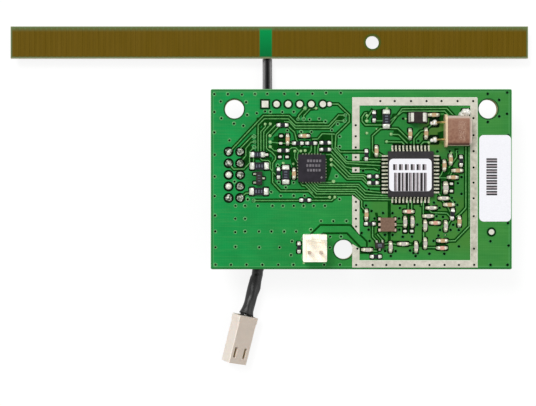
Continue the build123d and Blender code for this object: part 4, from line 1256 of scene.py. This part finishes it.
def add_curve(name, radius):
    data = bpy.data.curves.new(name, "CURVE")
    data.dimensions = "3D"
    spline = data.splines.new("NURBS")
    spline.points.add(len(ROUTE) - 1)
    for point, (x, y, z) in zip(spline.points, ROUTE):
        point.co = (x * MM, y * MM, z * MM, 1.0)
    spline.order_u = 3
    spline.use_endpoint_u = True
    spline.resolution_u = 24
    data.bevel_depth = radius * MM
    data.bevel_resolution = 8
    data.use_fill_caps = True
    obj = bpy.data.objects.new(name, data)
    bpy.context.collection.objects.link(obj)
    return obj


def route_line():
    """Points along the lead's own curve."""
    bare = add_curve("route_line", 0.0)
    mesh = bpy.data.meshes.new_from_object(bare)
    line = [v.co / MM for v in mesh.vertices]
    bpy.data.meshes.remove(mesh)
    bpy.data.objects.remove(bare)
    return line


def build_lead():
    lead = add_curve("coax_lead", LEAD_DIAMETER / 2)
    lead.data.materials.append(jacket_black())
    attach(lead, "root")
    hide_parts("coax_jacket")
    carried = [build_sleeve(), nodes["lead_wires"], nodes["plug_housing"], nodes["plug_contacts"]]


def sleeve_radius(along, left, angle):
    """The sleeve's radius: creased, kinked once, swollen once, and wider where it ends."""
    grow = max(0.0, 1 - left / 1.6)
    radius = SLEEVE_RADIUS + (SLEEVE_END_RADIUS - SLEEVE_RADIUS) * grow * grow
    fold = math.sin(2 * angle + along * 0.9) * 0.05 + math.sin(3 * angle - along * 1.7 + 1.0) * 0.035
    kink = math.exp(-((along - 5.6 - 0.5 * math.cos(angle)) / 0.35) ** 2) * 0.11
    swell = math.exp(-((along - 9.0 - 0.6 * math.sin(angle)) / 0.9) ** 2) * 0.08
    return radius + (fold - kink + swell) * min(1.0, along / 0.8)


def build_sleeve():
    """Shrunk tubing with creases, which ends in an open mouth round the two wires."""
    line = [p for p in route_line() if p.y <= SLEEVE_START_Y]
    line.append(line[-1] + (line[-1] - line[-2]).normalized() * SLEEVE_MOUTH)
    lengths = [0.0]
    for a, b in zip(line, line[1:]):
        lengths.append(lengths[-1] + (b - a).length)
    bm = bmesh.new()
    sides = 48
    rings = []
    for n, (middle, along) in enumerate(zip(line, lengths)):
        way = (line[min(n + 1, len(line) - 1)] - line[max(n - 1, 0)]).normalized()
        across = way.cross(Vector((0, 0, 1))).normalized()
        up = across.cross(way).normalized()
        ring = []
        for k in range(sides):
            angle = 2 * math.pi * k / sides
            radius = sleeve_radius(along, lengths[-1] - along, angle)
            spot = middle + (across * math.cos(angle) + up * math.sin(angle)) * radius
            spot.z = max(spot.z, 0.02)
            ring.append(bm.verts.new(spot))
        rings.append(ring)

    def shrunk(ring, middle, depth):
        return [bm.verts.new(v.co + (middle - v.co).normalized() * depth) for v in ring]

    inner = [shrunk(ring, middle, SLEEVE_WALL) for ring, middle in zip(rings[-6:], line[-6:])]
    first = shrunk(rings[0], line[0], 0.3)
    bridge(bm, [first] + rings + inner[::-1])
    bm.faces.new(inner[0])
    bm.faces.new(first)
    return piece(
        "shrunk_sleeve", bm, sleeve_black(), smooth=True, stands_for="heat_shrink_sleeve",
    )


# Floor, lights and camera


FLOOR_SHADE = 0.16
FLOOR_GLOW = 0.87
FLOOR_HALF = 1.5
AMBIENT = 0.46
KEY = 0.42
FILL = 0.12
OVERHEAD_LOSS = 0.6
CAMERA_PLACE = (-0.3, -12.68, 260.1)
CAMERA_LENS = 76.4


def add_sun(name, power, turn, height, width):
    """A soft lamp that lights a level white surface by power; turn and height say where it stands."""
    data = bpy.data.lights.new(name, "SUN")
    data.energy = math.pi * power / math.sin(math.radians(height))
    data.angle = math.radians(width)
    lamp = bpy.data.objects.new(name, data)
    lamp.rotation_euler = (math.radians(90 - height), 0.0, math.radians(turn + 90))
    bpy.context.collection.objects.link(lamp)


def ray(tree, kind):
    return add_node(tree, "LightPath", f"Is {kind} Ray", {})


def looking(tree):
    """1 for rays from the camera, by way of mirrors and glass too, and 0 for those that light."""
    return ray(tree, "Camera").most(ray(tree, "Glossy")).most(ray(tree, "Transmission"))


def add_floor():
    """Pale paper that looks white to the camera and in reflections, and keeps the shadow."""
    finish = Finish("floor_paper", roughness=0.9, specular=0.1)
    put(finish.shader["Base Color"], (FLOOR_SHADE, FLOOR_SHADE, FLOOR_SHADE, 1.0))
    put(finish.shader["Emission Color"], (1.0, 1.0, 1.0, 1.0))
    put(finish.shader["Emission Strength"], looking(finish.tree) * FLOOR_GLOW)
    bm = bmesh.new()
    bmesh.ops.create_grid(bm, x_segments=1, y_segments=1, size=FLOOR_HALF)
    mesh = bpy.data.meshes.new("floor")
    bm.to_mesh(mesh)
    bm.free()
    mesh.materials.append(finish.material)
    floor = bpy.data.objects.new("floor", mesh)
    bpy.context.collection.objects.link(floor)


def add_world():
    """White all round to the camera, a dimmer light, and a darker patch overhead in reflections."""
    world = bpy.data.worlds.new("studio")
    bpy.context.scene.world = world
    world.use_nodes = True
    tree = world.node_tree
    background = tree.nodes["Background"].inputs
    put(background["Color"], (1.0, 1.0, 1.0, 1.0))
    height = add_node(tree, "TexCoord", "Generated", {}).part("Z")
    loss = ray(tree, "Glossy") * height.spread(0.8, 0.97, 0.0, OVERHEAD_LOSS)
    put(background["Strength"], looking(tree).spread(0.0, 1.0, AMBIENT, 1.0) - loss)


def build_stage():
    add_floor()
    add_sun("key", KEY, 128.0, 52.0, 24.0)
    add_sun("fill", FILL, 10.0, 35.0, 40.0)
    add_world()
    data = bpy.data.cameras.new("camera")
    data.sensor_width = 36.0
    data.lens = CAMERA_LENS
    data.clip_start = 0.01
    camera = bpy.data.objects.new("camera", data)
    camera.location = [value * MM for value in CAMERA_PLACE]
    bpy.context.collection.objects.link(camera)
    bpy.context.scene.camera = camera
    bpy.context.scene.view_settings.view_transform = "Standard"


build_openings()
build_halos()
build_traces()
build_vias()
build_hole_rings()
build_prints()
build_ends()
build_pads()
build_laps()
build_land_rims()
build_choke_tops()
build_marks()
build_joints()
build_crystal_solder()
dress_nodes()
build_lead()
build_stage()
